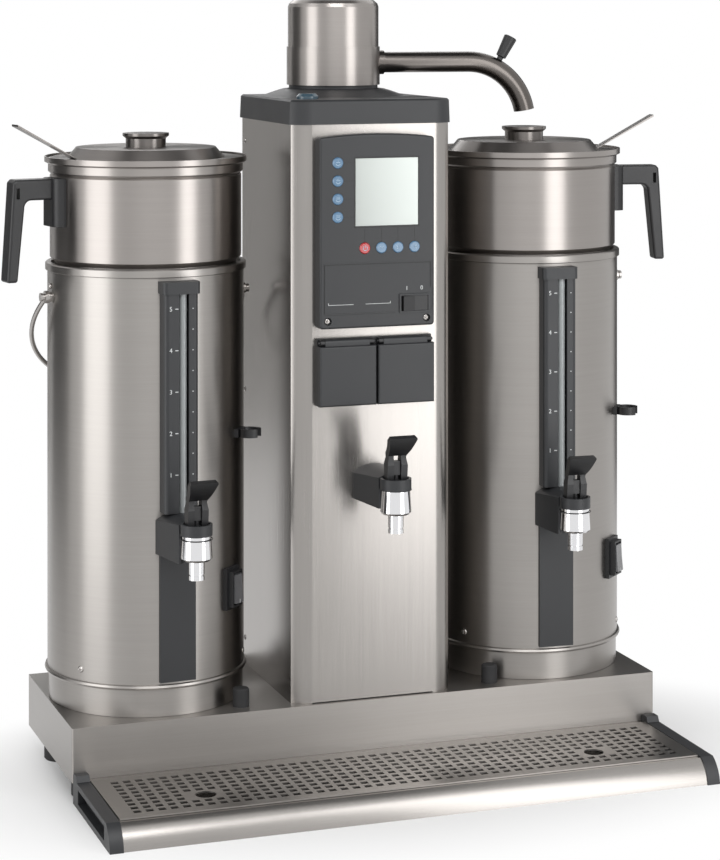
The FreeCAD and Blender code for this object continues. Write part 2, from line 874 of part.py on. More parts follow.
def make_front_cover():
    body = place(new_body("front_cover"))
    gauge = s.sheet_gauge
    corner = s.column_corner + s.seat_gap
    outer = s.column_half - gauge - s.slide_gap
    bend = bend_radius(s.face_slant, s.column_face - corner)
    inner_bend = bend_radius(outer - gauge - s.face_half, s.column_face - gauge - corner)
    plan = outline(body, "XY_Plane", mirrored([
        (s.face_half, -s.column_face, -bend),
        (s.column_half, -corner),
        (outer, -corner),
        (outer, -corner + s.cover_return),
        (outer - gauge, -corner + s.cover_return),
        (outer - gauge, -corner, inner_bend),
        (s.face_half, -s.column_face + gauge),
    ]), up=s.base_top)
    pad(body, plan, s.column_top - s.base_top)
    front = s.column_face + gauge
    gap = rectangle(
        body, "XZ_Plane", -s.face_half, s.base_top, s.face_half, s.base_top + s.cover_lift, up=front,
    )
    pocket(body, gap, 4 * gauge, back=True)
    inset = s.panel_box_inset - s.seat_gap
    window = rectangle(
        body, "XZ_Plane", -s.panel_half + inset, s.panel_bottom + inset, s.panel_half - inset,
        s.panel_top - inset, up=front,
    )
    pocket(body, window, 4 * gauge, back=True)
    inset = s.socket_box_inset - s.seat_gap
    opening = rectangle(
        body, "XZ_Plane", -s.flap_half + inset, s.flap_bottom + inset, s.flap_half - inset,
        s.flap_top - inset, up=front,
    )
    pocket(body, opening, 4 * gauge, back=True)
    level = s.hot_tap_level + s.tap_height / 2
    hole = circles(body, "XZ_Plane", [(0, level, s.shank_radius + s.slide_gap)], up=front)
    pocket(body, hole, 4 * gauge, back=True)
    finished(body)


# Column lid: a drafted moulding with a shallow dome and a raised ring under the spout head

def lid_outline(body, grow, up):
    side = s.column_half + grow
    bend = bend_radius(s.face_slant + grow / 2, s.face_bulge + grow / 2)
    return outline(body, "XY_Plane", mirrored([
        (s.face_half + grow / 2, -s.column_face - grow, -bend),
        (side, -s.column_corner - grow / 2),
        (side, s.column_back + grow),
    ]), up=up)


def make_column_lid():
    body = place(new_body("column_lid"))
    top = s.column_top + s.lid_height
    pad(body, lid_outline(body, s.lid_overhang, s.column_top), s.lid_height, draft=-s.lid_draft)
    chamfer(body, s.lid_bevel, level_with(top))
    revolve(body, dome_sketch(body))
    trim = rectangle(
        body, "XY_Plane", -s.dome_foot, s.column_back - s.lid_wall, s.dome_foot,
        s.column_back + s.dome_foot, up=top,
    )
    pocket(body, trim, s.dome_rise + s.dome_ring_height)
    rim = lid_outline(body, s.lid_overhang - s.lid_wall, s.column_top)
    pocket(body, rim, s.lid_height - s.lid_wall)
    shaft = circles(body, "XY_Plane", [(0, s.head_back, s.spindle_radius + s.seat_gap)],
                    up=s.column_top)
    pocket(body, shaft)
    for radius, foot in (
        (s.button_cap_radius, top - s.button_cap_well), (s.button_cap_stem, s.column_top),
    ):
        well = [(s.button_cap_x, s.button_cap_y, radius + s.slide_gap)]
        pocket(body, circles(body, "XY_Plane", well, up=foot), s.lid_height)
    finished(body)


def dome_sketch(body):
    """Half the section of the dome, about the spout's axis."""
    sketch = new_sketch(body, "XZ_Plane", up=-s.head_back)
    top = s.column_top + s.lid_height
    ring = top + s.dome_rise
    draw_chain(sketch, [
        (0, top - s.lid_wall / 2),
        (s.dome_foot, top - s.lid_wall / 2),
        (s.dome_foot, top),
        (s.dome_ring + s.dome_shoulder, top + s.dome_rise * 0.64),
        (s.dome_ring + s.dome_shoulder / 2, top + s.dome_rise * 0.9),
        (s.dome_ring, ring),
        (s.dome_ring, ring + s.dome_ring_height),
        (0, ring + s.dome_ring_height),
    ])
    return sketch


def make_lid_button():
    body = place(new_body("lid_button"))
    top = s.column_top + s.lid_height
    rest = top - s.button_cap_well + s.button_cap_travel + s.slide_gap
    spot = [(s.button_cap_x, s.button_cap_y, s.button_cap_radius)]
    pad(body, circles(body, "XY_Plane", spot, up=rest), top + s.button_cap_height - rest)
    chamfer(body, s.button_cap_bevel, level_with(top + s.button_cap_height))
    stem = [(s.button_cap_x, s.button_cap_y, s.button_cap_stem)]
    pad(body, circles(body, "XY_Plane", stem, up=rest - s.button_cap_stem_length), s.button_cap_stem_length)
    finished(body)


# Boiler: a tank on a skirt, its heater, its riser and the spindle that carries the spout head

def make_boiler_tank():
    body = place(new_body("boiler_tank"), y=s.tank_y)
    wall = s.tank_wall
    sketch = new_sketch(body, "XZ_Plane")
    inner = s.tank_radius - wall
    draw_chain(sketch, [
        (s.heater_bore, s.tank_bottom),
        (s.skirt_radius - wall, s.tank_bottom),
        (s.skirt_radius - wall, s.base_top),
        (s.skirt_radius, s.base_top),
        (s.skirt_radius, s.tank_bottom),
        (s.tank_radius, s.tank_bottom),
        (s.tank_radius, s.tank_top - s.tank_shoulder),
        (s.tank_radius - s.tank_shoulder, s.tank_top),
        (0, s.tank_top),
        (0, s.tank_top - wall),
        (s.tank_radius - s.tank_shoulder - wall / 2, s.tank_top - wall),
        (inner, s.tank_top - s.tank_shoulder - wall / 2),
        (inner, s.tank_bottom + wall),
        (s.heater_bore, s.tank_bottom + wall),
    ])
    revolve(body, sketch)
    axis = s.head_back - s.tank_y
    pad(body, circles(body, "XY_Plane", [(0, axis, s.riser_radius)], up=s.tank_top),
        s.spout_level - s.tank_top)
    spindle_top = s.spout_level + s.spout_radius
    pad(body, circles(body, "XY_Plane", [(0, axis, s.spindle_radius)], up=spindle_top - s.spindle_length),
        s.spindle_length)
    add_heater(body)
    finished(body)


def add_heater(body):
    """A flange that closes the tank from below, with two U-shaped rods standing in the water."""
    thick = s.heater_flange_height
    flange = circles(body, "XY_Plane", [(0, 0, s.heater_flange_radius)], up=s.tank_bottom - thick)
    pad(body, flange, thick)
    half, depth = s.heater_half, s.heater_depth
    legs = [(x, y, s.heater_rod) for x in (-half, half) for y in (-depth, depth)]
    pad(body, circles(body, "XY_Plane", legs, up=s.tank_bottom), s.heater_height)
    bends = [(-half, y, s.heater_rod) for y in (-depth, depth)]
    bend = circles(body, "XY_Plane", bends, up=s.tank_bottom + s.heater_height)
    revolve(body, bend, angle=size(180))


def make_inlet_valve():
    """Water inlet at the back: a threaded port through the shell, its nut, and the valve with its coil."""
    body = place(new_body("inlet_valve"))
    back = s.column_back
    reach = s.inlet_thread_length
    shoulder = s.inlet_shoulder
    port = circles(body, "XZ_Plane", [(s.inlet_x, s.inlet_z, s.inlet_thread)], up=-back - shoulder - reach)
    pad(body, port, reach)
    neck = circles(body, "XZ_Plane", [(s.inlet_x, s.inlet_z, s.inlet_neck)], up=-back - shoulder)
    pad(body, neck, shoulder + s.sheet_gauge + s.inlet_nut_height)
    nut = circles(body, "XZ_Plane", [(s.inlet_x, s.inlet_z, s.inlet_nut)], up=-back + s.sheet_gauge)
    pad(body, nut, s.inlet_nut_height)
    half = s.inlet_body / 2
    block = rectangle(
        body, "XZ_Plane", s.inlet_x - half, s.inlet_z - half, s.inlet_x + half, s.inlet_z + half,
        up=-back + s.sheet_gauge + s.inlet_nut_height,
    )
    pad(body, block, s.inlet_body)
    middle = back - s.sheet_gauge - s.inlet_nut_height - half
    coil = circles(body, "XY_Plane", [(s.inlet_x, middle, s.inlet_coil_radius)], up=s.inlet_z + half)
    pad(body, coil, s.inlet_coil_length)
    finished(body)


# Spout arm: a turned head, a tube bent down over the filter pan and a grip to swing it by

def arm_reach():
    return root(s.can_x * s.can_x + s.head_back * s.head_back)


def arm_turn():
    return -bearing(s.can_x, s.head_back)


def make_arm_head():
    body = place(new_body("arm_head"), y=s.head_back, turn=arm_turn())
    bore = s.spindle_radius + s.spindle_gap
    bore_top = s.spout_level + s.spout_radius + s.seat_gap
    sketch = new_sketch(body, "XZ_Plane")
    draw_chain(sketch, [
        (bore, s.head_bottom),
        (s.head_radius, s.head_bottom),
        (s.head_radius, s.head_seam),
        (s.cap_radius, s.head_seam),
        (s.cap_radius, s.head_top - s.cap_bevel - s.cap_round_height),
        (s.cap_radius - s.cap_round, s.head_top - s.cap_bevel),
        (s.cap_flat, s.head_top),
        (0, s.head_top),
        (0, bore_top),
        (bore, bore_top),
    ])
    revolve(body, sketch)
    for radius, depth in ((s.spout_radius, s.spout_socket), (s.spout_collar + s.pin_gap, s.collar_seat)):
        hole = circles(body, "YZ_Plane", [(0, s.spout_level, radius)], up=s.head_radius - depth)
        pocket(body, hole, 2 * depth)
    finished(body)


def make_swivel_tube():
    body = place(new_body("swivel_tube"), y=s.head_back, turn=arm_turn())
    start = s.head_radius - s.spout_socket
    bend = arm_reach() - s.spout_bend * sine(s.spout_sweep)
    rings = (s.spout_radius, s.spout_bore)
    straight = circles(body, "YZ_Plane", [(0, s.spout_level, radius) for radius in rings], up=start)
    pad(body, straight, bend - start)
    curve = circles(body, "YZ_Plane", [(0, s.spout_bend, radius) for radius in rings], up=bend,
                    rise=s.spout_level - s.spout_bend)
    revolve(body, curve, angle=s.spout_sweep, axis="H_Axis")
    rings = (s.spout_collar, s.spout_radius)
    collar = circles(body, "YZ_Plane", [(0, s.spout_level, radius) for radius in rings],
                     up=s.head_radius - s.collar_seat + s.pin_gap)
    pad(body, collar, s.collar_length)
    finished(body)


def make_arm_grip():
    """A tapered grip that stands on the outside of the tube's bend."""
    body = place(new_body("arm_grip"), y=s.head_back, turn=arm_turn())
    bend = arm_reach() - s.spout_bend * sine(s.spout_sweep)
    outside = s.spout_bend + s.spout_radius
    foot_x = bend + outside * sine(s.grip_bearing)
    foot_z = s.spout_level - s.spout_bend + outside * cosine(s.grip_bearing)
    along, up = sine(s.grip_bearing), cosine(s.grip_bearing)

    def at(out, high):
        return (foot_x + out * up + high * along, foot_z + high * up - out * along)

    neck = s.grip_neck_length
    sketch = new_sketch(body, "XZ_Plane")
    draw_chain(sketch, [
        at(0, 0),
        at(s.grip_neck, 0),
        at(s.grip_neck, neck),
        at(s.grip_low, neck + 1),
        at(s.grip_high, neck + s.grip_length - 1),
        at(s.grip_high - 1, neck + s.grip_length),
        at(0, neck + s.grip_length),
    ])
    axis = new_sketch(body, "XZ_Plane")
    draw_chain(axis, [at(0, 0), at(0, neck + s.grip_length)], closed=False)
    grip = body.newObject("PartDesign::Revolution", "arm_grip_turned")
    grip.Profile = sketch
    grip.ReferenceAxis = (axis, ["Edge1"])
    grip.Angle = 360
    finished(body)


# Control panel: a moulded front with key wells, a display window and a rocker switch

def key_spots():
    """Names and places of the keys: one column beside the display and one row under it."""
    column = [(s.key_column_x, s.key_column_top - i * s.key_column_pitch) for i in range(4)]
    row = [(s.key_row_left + i * s.key_row_pitch, s.key_row_z) for i in range(4)]
    names = [f"side_key_{i}" for i in range(1, 5)] + ["stop_key"] + [f"menu_key_{i}" for i in range(1, 4)]
    return dict(zip(names, column + row))


def make_control_panel():
    body = place(new_body("control_panel"))
    half = s.panel_half
    arch = (half * half + s.panel_arch * s.panel_arch) / (2 * s.panel_arch)
    front = s.column_face + s.panel_depth
    face = outline(body, "XZ_Plane", [
        (-half, s.panel_bottom), (half, s.panel_bottom),
        (half, s.panel_top, -arch), (-half, s.panel_top),
    ], up=s.column_face)
    pad(body, face, s.panel_depth)
    fillet(body, s.panel_corner, lambda edge: abs(edge.Vertexes[0].Point.y - edge.Vertexes[-1].Point.y) > 1)
    fillet(body, s.panel_round, lambda edge: all(
        abs(v.Point.y + front.value) < 1e-4 for v in edge.Vertexes))
    inset = s.panel_box_inset
    box = rectangle(body, "XZ_Plane", -half + inset, s.panel_bottom + inset, half - inset,
                    s.panel_top - inset, up=s.column_face - s.panel_box_depth)
    pad(body, box, s.panel_box_depth)
    window = rectangle(body, "XZ_Plane", s.display_left, s.display_bottom, s.display_right, s.display_top,
                       up=front)
    pocket(body, window, s.display_recess, back=True)
    plate = rectangle(body, "XZ_Plane", s.plate_left, s.plate_bottom, s.plate_right, s.plate_top, up=front)
    pocket(body, plate, s.plate_recess, back=True)
    wells = [(x, z, s.key_radius + s.slide_gap) for x, z in key_spots().values()]
    depth = s.key_depth + s.key_travel + s.slide_gap
    pocket(body, circles(body, "XZ_Plane", wells, up=front), depth, back=True)
    root = s.plate_recess + s.seat_gap
    frame = rectangle(body, "XZ_Plane", s.power_left, s.power_bottom, s.power_right, s.power_top,
                      up=front - root)
    pad(body, frame, s.power_frame_proud + root)
    inset = s.power_frame - s.slide_gap
    well = rectangle(
        body, "XZ_Plane", s.power_left + inset, s.power_bottom + inset, s.power_right - inset,
        s.power_top - inset, up=front + s.power_frame_proud,
    )
    pocket(body, well, s.power_recess + s.power_frame_proud, back=True)
    screws = [(x, s.screw_z, s.screw_recess_radius) for x in (-s.screw_half, s.screw_half)]
    pocket(body, circles(body, "XZ_Plane", screws, up=front), s.screw_recess, back=True)
    finished(body)


def make_display_window():
    body = place(new_body("display_window"))
    gap = s.slide_gap
    pane = rectangle(
        body, "XZ_Plane", s.display_left + gap, s.display_bottom + gap, s.display_right - gap,
        s.display_top - gap, up=s.column_face + s.panel_depth - s.display_recess,
    )
    pad(body, pane, s.display_thick)
    finished(body)


def make_keys():
    front = s.column_face + s.panel_depth
    for name, (x, z) in key_spots().items():
        body = place(new_body(name), x=x, z=z)
        shank = circles(body, "XZ_Plane", [(0, 0, s.key_radius)], up=front - s.key_depth)
        pad(body, shank, s.key_depth + s.key_proud)
        tip = (front + s.key_proud).value
        chamfer(body, s.key_bevel, lambda edge: all(abs(v.Point.y + tip) < 1e-4 for v in edge.Vertexes))
        finished(body)


def make_power_rocker():
    """A rocker that tips about an upright pin; its face is a shallow V, at rest pressed on one side."""
    middle = (s.power_left + s.power_right) / 2
    front = s.column_face + s.panel_depth
    body = place(new_body("power_rocker"), x=middle, y=-front + s.power_recess / 2, turn=s.power_tilt)
    long = (s.power_right - s.power_left) / 2 - s.power_frame - s.power_end_gap
    slope = sine(s.power_tilt) * long
    face = s.power_recess / 2 + s.power_proud
    barrel = s.power_recess / 4
    foot = s.power_bottom + s.power_frame
    tall = s.power_top - s.power_bottom - 2 * s.power_frame
    plan = outline(body, "XY_Plane", [
        (-long, -barrel / 2), (-long, -face), (0, slope - face), (long, -face), (long, -barrel / 2),
    ], up=foot)
    pad(body, plan, tall)
    pad(body, circles(body, "XY_Plane", [(0, 0, barrel)], up=foot), tall)
    finished(body)


# Sockets: a dark block behind the front cover with two wells, and a hinged flap over each

def make_socket_block():
    body = place(new_body("socket_block"))
    half = s.flap_half
    inset = s.socket_box_inset
    front = s.column_face + s.socket_plate
    low, top = s.flap_bottom, s.flap_top
    plate = rectangle(body, "XZ_Plane", -half, low, half, top + s.hinge_rise, up=s.column_face)
    pad(body, plate, s.socket_plate)
    box = rectangle(body, "XZ_Plane", -half + inset, low + inset, half - inset, top - inset,
                    up=s.column_face - s.socket_box_depth)
    pad(body, box, s.socket_box_depth)
    middle = (s.flap_half + s.flap_middle_gap / 2) / 2
    level = (low + top) / 2
    spots = [(x, level) for x in (-middle, middle)]
    wells = circles(body, "XZ_Plane", [(x, z, s.socket_well_radius) for x, z in spots], up=front)
    pocket(body, wells, s.socket_well_depth, back=True)
    pins = [
        (x + side * s.socket_pin_half, z, s.socket_pin_radius) for x, z in spots for side in (-1, 1)
    ]
    holes = circles(body, "XZ_Plane", pins, up=front - s.socket_well_depth)
    pocket(body, holes, s.socket_pin_depth, back=True)
    hinge_y = front + s.hinge_radius + s.slide_gap
    hinge_z = s.flap_top + s.hinge_radius
    round_ear = s.hinge_radius - s.slide_gap
    for centre in (-middle, middle):
        for side in (-1, 1):
            at = centre + side * (half / 2 - s.hinge_ear) - s.hinge_ear / 2
            ear = rectangle(body, "YZ_Plane", -hinge_y, hinge_z - round_ear, -s.column_face - s.sheet_gauge,
                            hinge_z + round_ear, up=at)
            pad(body, ear, s.hinge_ear)
            pad(body, circles(body, "YZ_Plane", [(-hinge_y, hinge_z, round_ear)], up=at), s.hinge_ear)
    bore = circles(body, "YZ_Plane", [(-hinge_y, hinge_z, s.hinge_pin + s.pin_gap)], up=-half)
    pocket(body, bore, 2 * half)
    finished(body)


def make_socket_flaps():
    front = s.column_face + s.socket_plate + s.seat_gap
    hinge_y = s.column_face + s.socket_plate + s.hinge_radius + s.slide_gap
    hinge_z = s.flap_top + s.hinge_radius
    half = (s.flap_half - s.flap_middle_gap / 2) / 2
    middle = (s.flap_half + s.flap_middle_gap / 2) / 2
    for name, side in (("left_socket_flap", -1), ("right_socket_flap", 1)):
        body = place(new_body(name), x=side * middle)
        plate = rectangle(body, "XZ_Plane", -half, s.flap_bottom, half, s.flap_top, up=front)
        pad(body, plate, s.flap_depth)
        outer = (front + s.flap_depth).value
        fillet(body, s.flap_round, lambda edge: all(abs(v.Point.y + outer) < 1e-4 for v in edge.Vertexes))
        wall = s.flap_wall
        hollow = rectangle(body, "XZ_Plane", -half + wall, s.flap_bottom + wall, half - wall,
                           s.flap_top - wall, up=front)
        pocket(body, hollow, s.flap_depth - wall)
        inner = s.flap_half / 2 - s.hinge_ear * 1.5 - s.slide_gap
        barrel = rectangle(body, "YZ_Plane", -hinge_y - s.hinge_radius, s.flap_top - s.hinge_radius,
                           -hinge_y + s.hinge_radius, hinge_z, up=-inner)
        pad(body, barrel, 2 * inner)
        knuckle = circles(body, "YZ_Plane", [(-hinge_y, hinge_z, s.hinge_radius)], up=-inner)
        pad(body, knuckle, 2 * inner)
        pin = circles(body, "YZ_Plane", [(-hinge_y, hinge_z, s.hinge_pin)], up=-half + s.slide_gap)
        pad(body, pin, 2 * half - 2 * s.slide_gap)
        finished(body)


# Taps: each has a bracket with its bonnet, a turned body with its nozzle, a valve stem and a lever

def make_tap_bracket(name, spot, reach, level, low, high, back, carrier=None):
    """A block from the wall to the tap, arched on top, with the bonnet that closes the tap's body."""
    body = place(new_body(name), **spot)
    half, nose = s.bracket_half, s.bracket_nose
    arch = (half * half + s.bracket_wrap * s.bracket_wrap) / (2 * s.bracket_wrap)
    face = outline(body, "XZ_Plane", [
        (-half, low), (half, low), (half, high - s.bracket_wrap, -arch), (-half, high - s.bracket_wrap),
    ], up=back)
    pad(body, face, reach - s.bracket_wrap - back)
    for side in (-1, 1):
        flank = outline(body, "XY_Plane", [
            (side * half, -back - 3), (side * (half + 5), -back - 3), (side * (half + 5), -reach),
            (side * nose, -reach),
        ], up=low - 1)
        pocket(body, flank, high - low + 2)
    top = level + s.tap_height
    clear = s.tap_low_radius
    pocket(body, circles(body, "XY_Plane", [(0, -reach, clear)], up=level - s.nozzle_drop),
           s.nozzle_drop + s.tap_height)
    sketch = new_sketch(body, "XZ_Plane", up=reach)
    crown = top + s.bonnet_height
    draw_chain(sketch, [
        (s.stem_bore, top),
        (s.bonnet_radius, top),
        (s.bonnet_radius, crown),
        (s.bonnet_dish, crown),
        (s.bonnet_dish, crown - s.bonnet_dish_depth),
        (s.stem_bore, crown - s.bonnet_dish_depth),
    ])
    revolve(body, sketch)
    stem = circles(body, "XY_Plane", [(0, -reach, s.stem_bore)], up=top - 1)
    pocket(body, stem, s.bonnet_height + 2)
    dish = circles(body, "XY_Plane", [(0, -reach, s.bonnet_dish)], up=crown - s.bonnet_dish_depth)
    pocket(body, dish, s.bonnet_height)
    shank = circles(body, "XZ_Plane", [(0, level + s.tap_height / 2, s.shank_radius)], up=back - 5)
    pocket(body, shank, reach - back)
    if carrier is not None:
        carrier(body)
    finished(body)


def make_tap_body(name, spot, reach, level, back, riser_top=None):
    """A turned tap with its nozzle, and a shank back to the tank or to the riser under a liner."""
    body = place(new_body(name), **spot)
    sketch = new_sketch(body, "XZ_Plane", up=reach)
    tip = level - s.nozzle_drop
    band = tip + s.nozzle_band
    neck = s.nozzle_radius - s.nozzle_groove
    draw_chain(sketch, [
        (s.nozzle_bore, tip),
        (s.nozzle_radius, tip),
        (s.nozzle_radius, band),
        (neck, band),
        (neck, band + s.nozzle_groove * 2),
        (s.nozzle_radius, band + s.nozzle_groove * 2),
        (s.nozzle_radius, level),
        (s.tap_low_radius - s.tap_chamfer, level),
        (s.tap_low_radius, level + s.tap_chamfer),
        (s.tap_high_radius, level + s.tap_height),
        (s.tap_chamber, level + s.tap_height),
        (s.tap_chamber, level + s.tap_seat),
        (s.nozzle_bore, level + s.tap_seat),
    ])
    revolve(body, sketch)
    start = s.tap_chamber + 2
    shank = circles(body, "XZ_Plane", [(0, level + s.tap_height / 2, s.shank_radius)], up=back)
    pad(body, shank, reach - start - back)
    if riser_top is not None:
        foot = level + s.tap_height / 2 - s.shank_radius
        riser = circles(body, "XY_Plane", [(0, -back, s.shank_radius)], up=foot)
        pad(body, riser, riser_top - foot)
    finished(body)


def make_tap_stem(name, spot, reach, level):
    """The valve stem: a seal at its foot, and a flat head with the cross pin that the fork turns on."""
    body = place(new_body(name), **spot)
    seat = level + s.tap_seat
    pin_level = level + s.tap_height + s.bonnet_height + s.pin_above_bonnet
    seal = circles(body, "XY_Plane", [(0, -reach, s.stem_seal)], up=seat + s.seat_gap)
    pad(body, seal, s.stem_seal_height)
    rod = circles(body, "XY_Plane", [(0, -reach, s.stem_radius)], up=seat + s.seat_gap)
    pad(body, rod, pin_level - seat - s.seat_gap)
    head = s.stem_head_half
    block = rectangle(body, "XY_Plane", -head, -reach - head, head, -reach + head,
                      up=level + s.tap_height + s.bonnet_height + s.stem_head_bottom)
    pad(body, block, s.pin_above_bonnet - s.stem_head_bottom + head)
    pin = circles(body, "YZ_Plane", [(-reach, pin_level, s.pin_radius)])
    pad(body, pin, 2 * s.fork_half, both=True)
    finished(body)


def make_tap_lever(name, spot, reach, level):
    """A forked lever with two cam feet over the bonnet and a paddle that flares and leans forward."""
    body = place(new_body(name), **spot)
    pin = level + s.tap_height + s.bonnet_height + s.pin_above_bonnet
    foot = pin - s.pin_above_bonnet - s.bonnet_dish_depth + s.cam_gap
    y = -reach
    low, high = pin + s.paddle_low, pin + s.paddle_high
    thick = s.paddle_thick
    lean = s.paddle_lean
    side = outline(body, "YZ_Plane", [
        (y - s.cam_half, foot),
        (y + s.cam_half, foot),
        (y + s.fork_boss, pin, -4 * s.fork_boss),
        (y + thick / 2, low + 3, 3 * lean),
        (y - lean + thick * 0.7, high),
        (y - lean - thick * 0.7, high - 2, -3 * lean),
        (y - thick, low, 4 * s.fork_boss),
        (y - s.fork_boss, pin),
    ])
    pad(body, side, 2 * s.paddle_half, both=True)
    half = s.paddle_half
    for sign in (-1, 1):
        waste = outline(body, "XZ_Plane", [
            (sign * s.fork_half, foot - 1),
            (sign * (half + 2), foot - 1),
            (sign * (half + 2), high + 1),
            (sign * (half - 2), high + 1),
            (sign * half, high - 4),
            (sign * (s.fork_half - 1.5), low - 2),
            (sign * s.fork_half, pin),
        ], up=reach)
        pocket(body, waste, None, both=True)
    slot = rectangle(body, "XZ_Plane", -s.fork_slot_half, foot - 1, s.fork_slot_half, low, up=reach)
    pocket(body, slot, None, both=True)
    bore = circles(body, "YZ_Plane", [(y, pin, s.pin_radius + s.pin_gap)])
    pocket(body, bore, None, both=True)
    finished(body)


def make_hot_tap():
    spot = {"x": 0}
    reach, level = s.hot_tap_reach, s.hot_tap_level
    make_tap_bracket("hot_tap_bracket", spot, reach, level, s.hot_bracket_bottom, s.hot_bracket_top,
                     s.column_face)
    tank_front = s.tank_radius - s.tank_y
    make_tap_body("hot_tap_body", spot, reach, level, tank_front)
    make_tap_stem("hot_tap_stem", spot, reach, level)
    make_tap_lever("hot_tap_lever", spot, reach, level)


# Containers: each is built about its own axis with the tap to the front, then turned and set in place

def container_spot(side):
    return {"x": side * s.can_x, "turn": -side * s.can_turn}


def make_vessel(name, spot):
    """A double-walled vessel: outer jacket with rim bead and foot bead, and a dished inner liner."""
    body = place(new_body(name), **spot)
    gauge = s.sheet_gauge
    outer, inner = s.can_radius, s.can_radius - gauge
    low = s.base_top + s.seat_gap
    rim = s.can_rim
    bead = s.can_bead_level
    sketch = new_sketch(body, "XZ_Plane")
    draw_chain(sketch, [
        (s.can_socket_radius, low + s.can_floor_height),
        (s.can_foot_radius - 2 * gauge, low + s.can_floor_height),
        (s.can_foot_radius - 2 * gauge, low),
        (s.can_foot_radius, low),
        (s.can_foot_radius, bead - s.can_bead),
        (outer + s.can_bead * 0.7, bead - s.can_bead * 0.7),
        (outer + s.can_bead, bead),
        (outer + s.can_bead * 0.7, bead + s.can_bead * 0.7),
        (outer, bead + s.can_bead),
        (outer, rim - s.can_rim_height),
        (outer + s.can_rim_bead, rim - s.can_rim_height + s.can_rim_bevel),
        (outer + s.can_rim_bead, rim - s.can_rim_bevel),
        (outer + s.can_rim_bead - s.can_rim_bevel, rim),
        (inner - s.can_rim_bead, rim),
        (inner - s.can_rim_bead, s.can_ledge),
        (s.can_neck_radius, s.can_ledge),
        (s.can_neck_radius, s.can_neck_bottom),
        (s.liner_radius, s.liner_shoulder),
        (s.liner_radius, s.liner_floor + s.liner_dish),
        (0, s.liner_floor),
        (0, s.liner_floor - gauge),
        (s.liner_radius + gauge, s.liner_floor + s.liner_dish - gauge),
        (s.liner_radius + gauge, s.liner_shoulder - gauge / 2),
        (s.can_neck_radius + gauge, s.can_neck_bottom - gauge / 2),
        (s.can_neck_radius + gauge, s.can_ledge - gauge),
        (inner, s.can_ledge - gauge),
        (inner, low + s.can_floor_height + gauge),
        (s.can_socket_radius, low + s.can_floor_height + gauge),
    ])
    revolve(body, sketch)
    level = s.can_tap_level + s.tap_height / 2
    hole = circles(body, "XZ_Plane", [(0, level, s.shank_radius)], up=s.liner_radius)
    pocket(body, hole, outer - s.liner_radius + gauge)
    finished(body)


def make_bail_ears(prefix, spot):
    """Two studs on the wall that the bail's eyes turn on: a flange, a pin and a head."""
    body = place(new_body(f"{prefix}_bail_ears"), **spot)
    body.AllowCompound = True
    wall = s.can_radius
    for side in (-1, 1):
        for radius, start, length in (
            (s.ear_flange, wall - s.sheet_gauge, s.sheet_gauge + s.ear_flange_length),
            (s.ear_radius, wall, s.ear_length),
            (s.ear_head_radius, wall + s.ear_length, s.ear_head_length),
        ):
            ring = circles(body, "YZ_Plane", [(0, s.ear_level, radius)], up=side * start)
            pad(body, ring, length, back=side < 0)
    trim = circles(body, "XY_Plane", [(0, 0, wall)], up=s.ear_level - 2 * s.ear_flange)
    pocket(body, trim, 4 * s.ear_flange)
    finished(body)


def gauge_plan(body, grow, up):
    """The section of the level gauge's housing, to be trimmed to the vessel's round wall."""
    half = s.gauge_half + grow
    front = s.gauge_front + grow
    return rectangle(body, "XY_Plane", -half, -front, half, -s.can_radius + s.wall_root, up=up)


def make_gauge(prefix, spot):
    body = place(new_body(f"{prefix}_gauge_housing"), **spot)
    foot = s.can_bracket_top
    cap = s.gauge_top - s.gauge_cap_height
    pad(body, gauge_plan(body, 0, foot), cap - foot)
    fillet(body, s.gauge_round, lambda edge: upright(edge)
           and abs(edge.Vertexes[0].Point.y + s.gauge_front.value) < 1e-4)
    left = s.gauge_slot_x - s.gauge_slot_half
    right = s.gauge_slot_x + s.gauge_slot_half
    slot = rectangle(
        body, "XY_Plane", left, -s.gauge_front - 1, right, -s.gauge_front + s.gauge_slot_depth, up=foot,
    )
    pocket(body, slot, cap - foot)
    pad(body, gauge_plan(body, s.gauge_cap_proud, cap), s.gauge_cap_height)
    front = (s.gauge_front + s.gauge_cap_proud).value
    fillet(body, s.gauge_round, lambda edge: upright(edge) and abs(edge.Vertexes[0].Point.y + front) < 1e-4)
    glass = circles(body, "XY_Plane", [(s.gauge_slot_x, -glass_depth(), s.glass_radius)], up=cap)
    pocket(body, glass, s.glass_seat)
    wall = circles(body, "XY_Plane", [(0, 0, s.can_radius)], up=foot - 1)
    pocket(body, wall, s.gauge_top - foot + 2)
    finished(body)
    tube = place(new_body(f"{prefix}_gauge_glass"), **spot)
    spots = [(s.gauge_slot_x, -glass_depth(), radius) for radius in (s.glass_radius, s.glass_bore)]
    pad(tube, circles(tube, "XY_Plane", spots, up=foot), cap + s.glass_seat - foot)
    finished(tube)


def glass_depth():
    return s.gauge_front - s.gauge_slot_depth / 2


def strip_carrier(body):
    """The dark strip below the bracket, and the trim of bracket and strip to the vessel's wall."""
    outer = s.can_radius + s.strip_thick
    half, root = s.strip_half, s.can_radius - s.wall_root
    strip = rectangle(body, "XY_Plane", -half, -outer, half, -root, up=s.strip_bottom)
    pad(body, strip, s.can_bracket_bottom - s.strip_bottom)
    wall = circles(body, "XY_Plane", [(0, 0, s.can_radius)], up=s.strip_bottom - 1)
    pocket(body, wall, s.can_bracket_top - s.strip_bottom + 2)


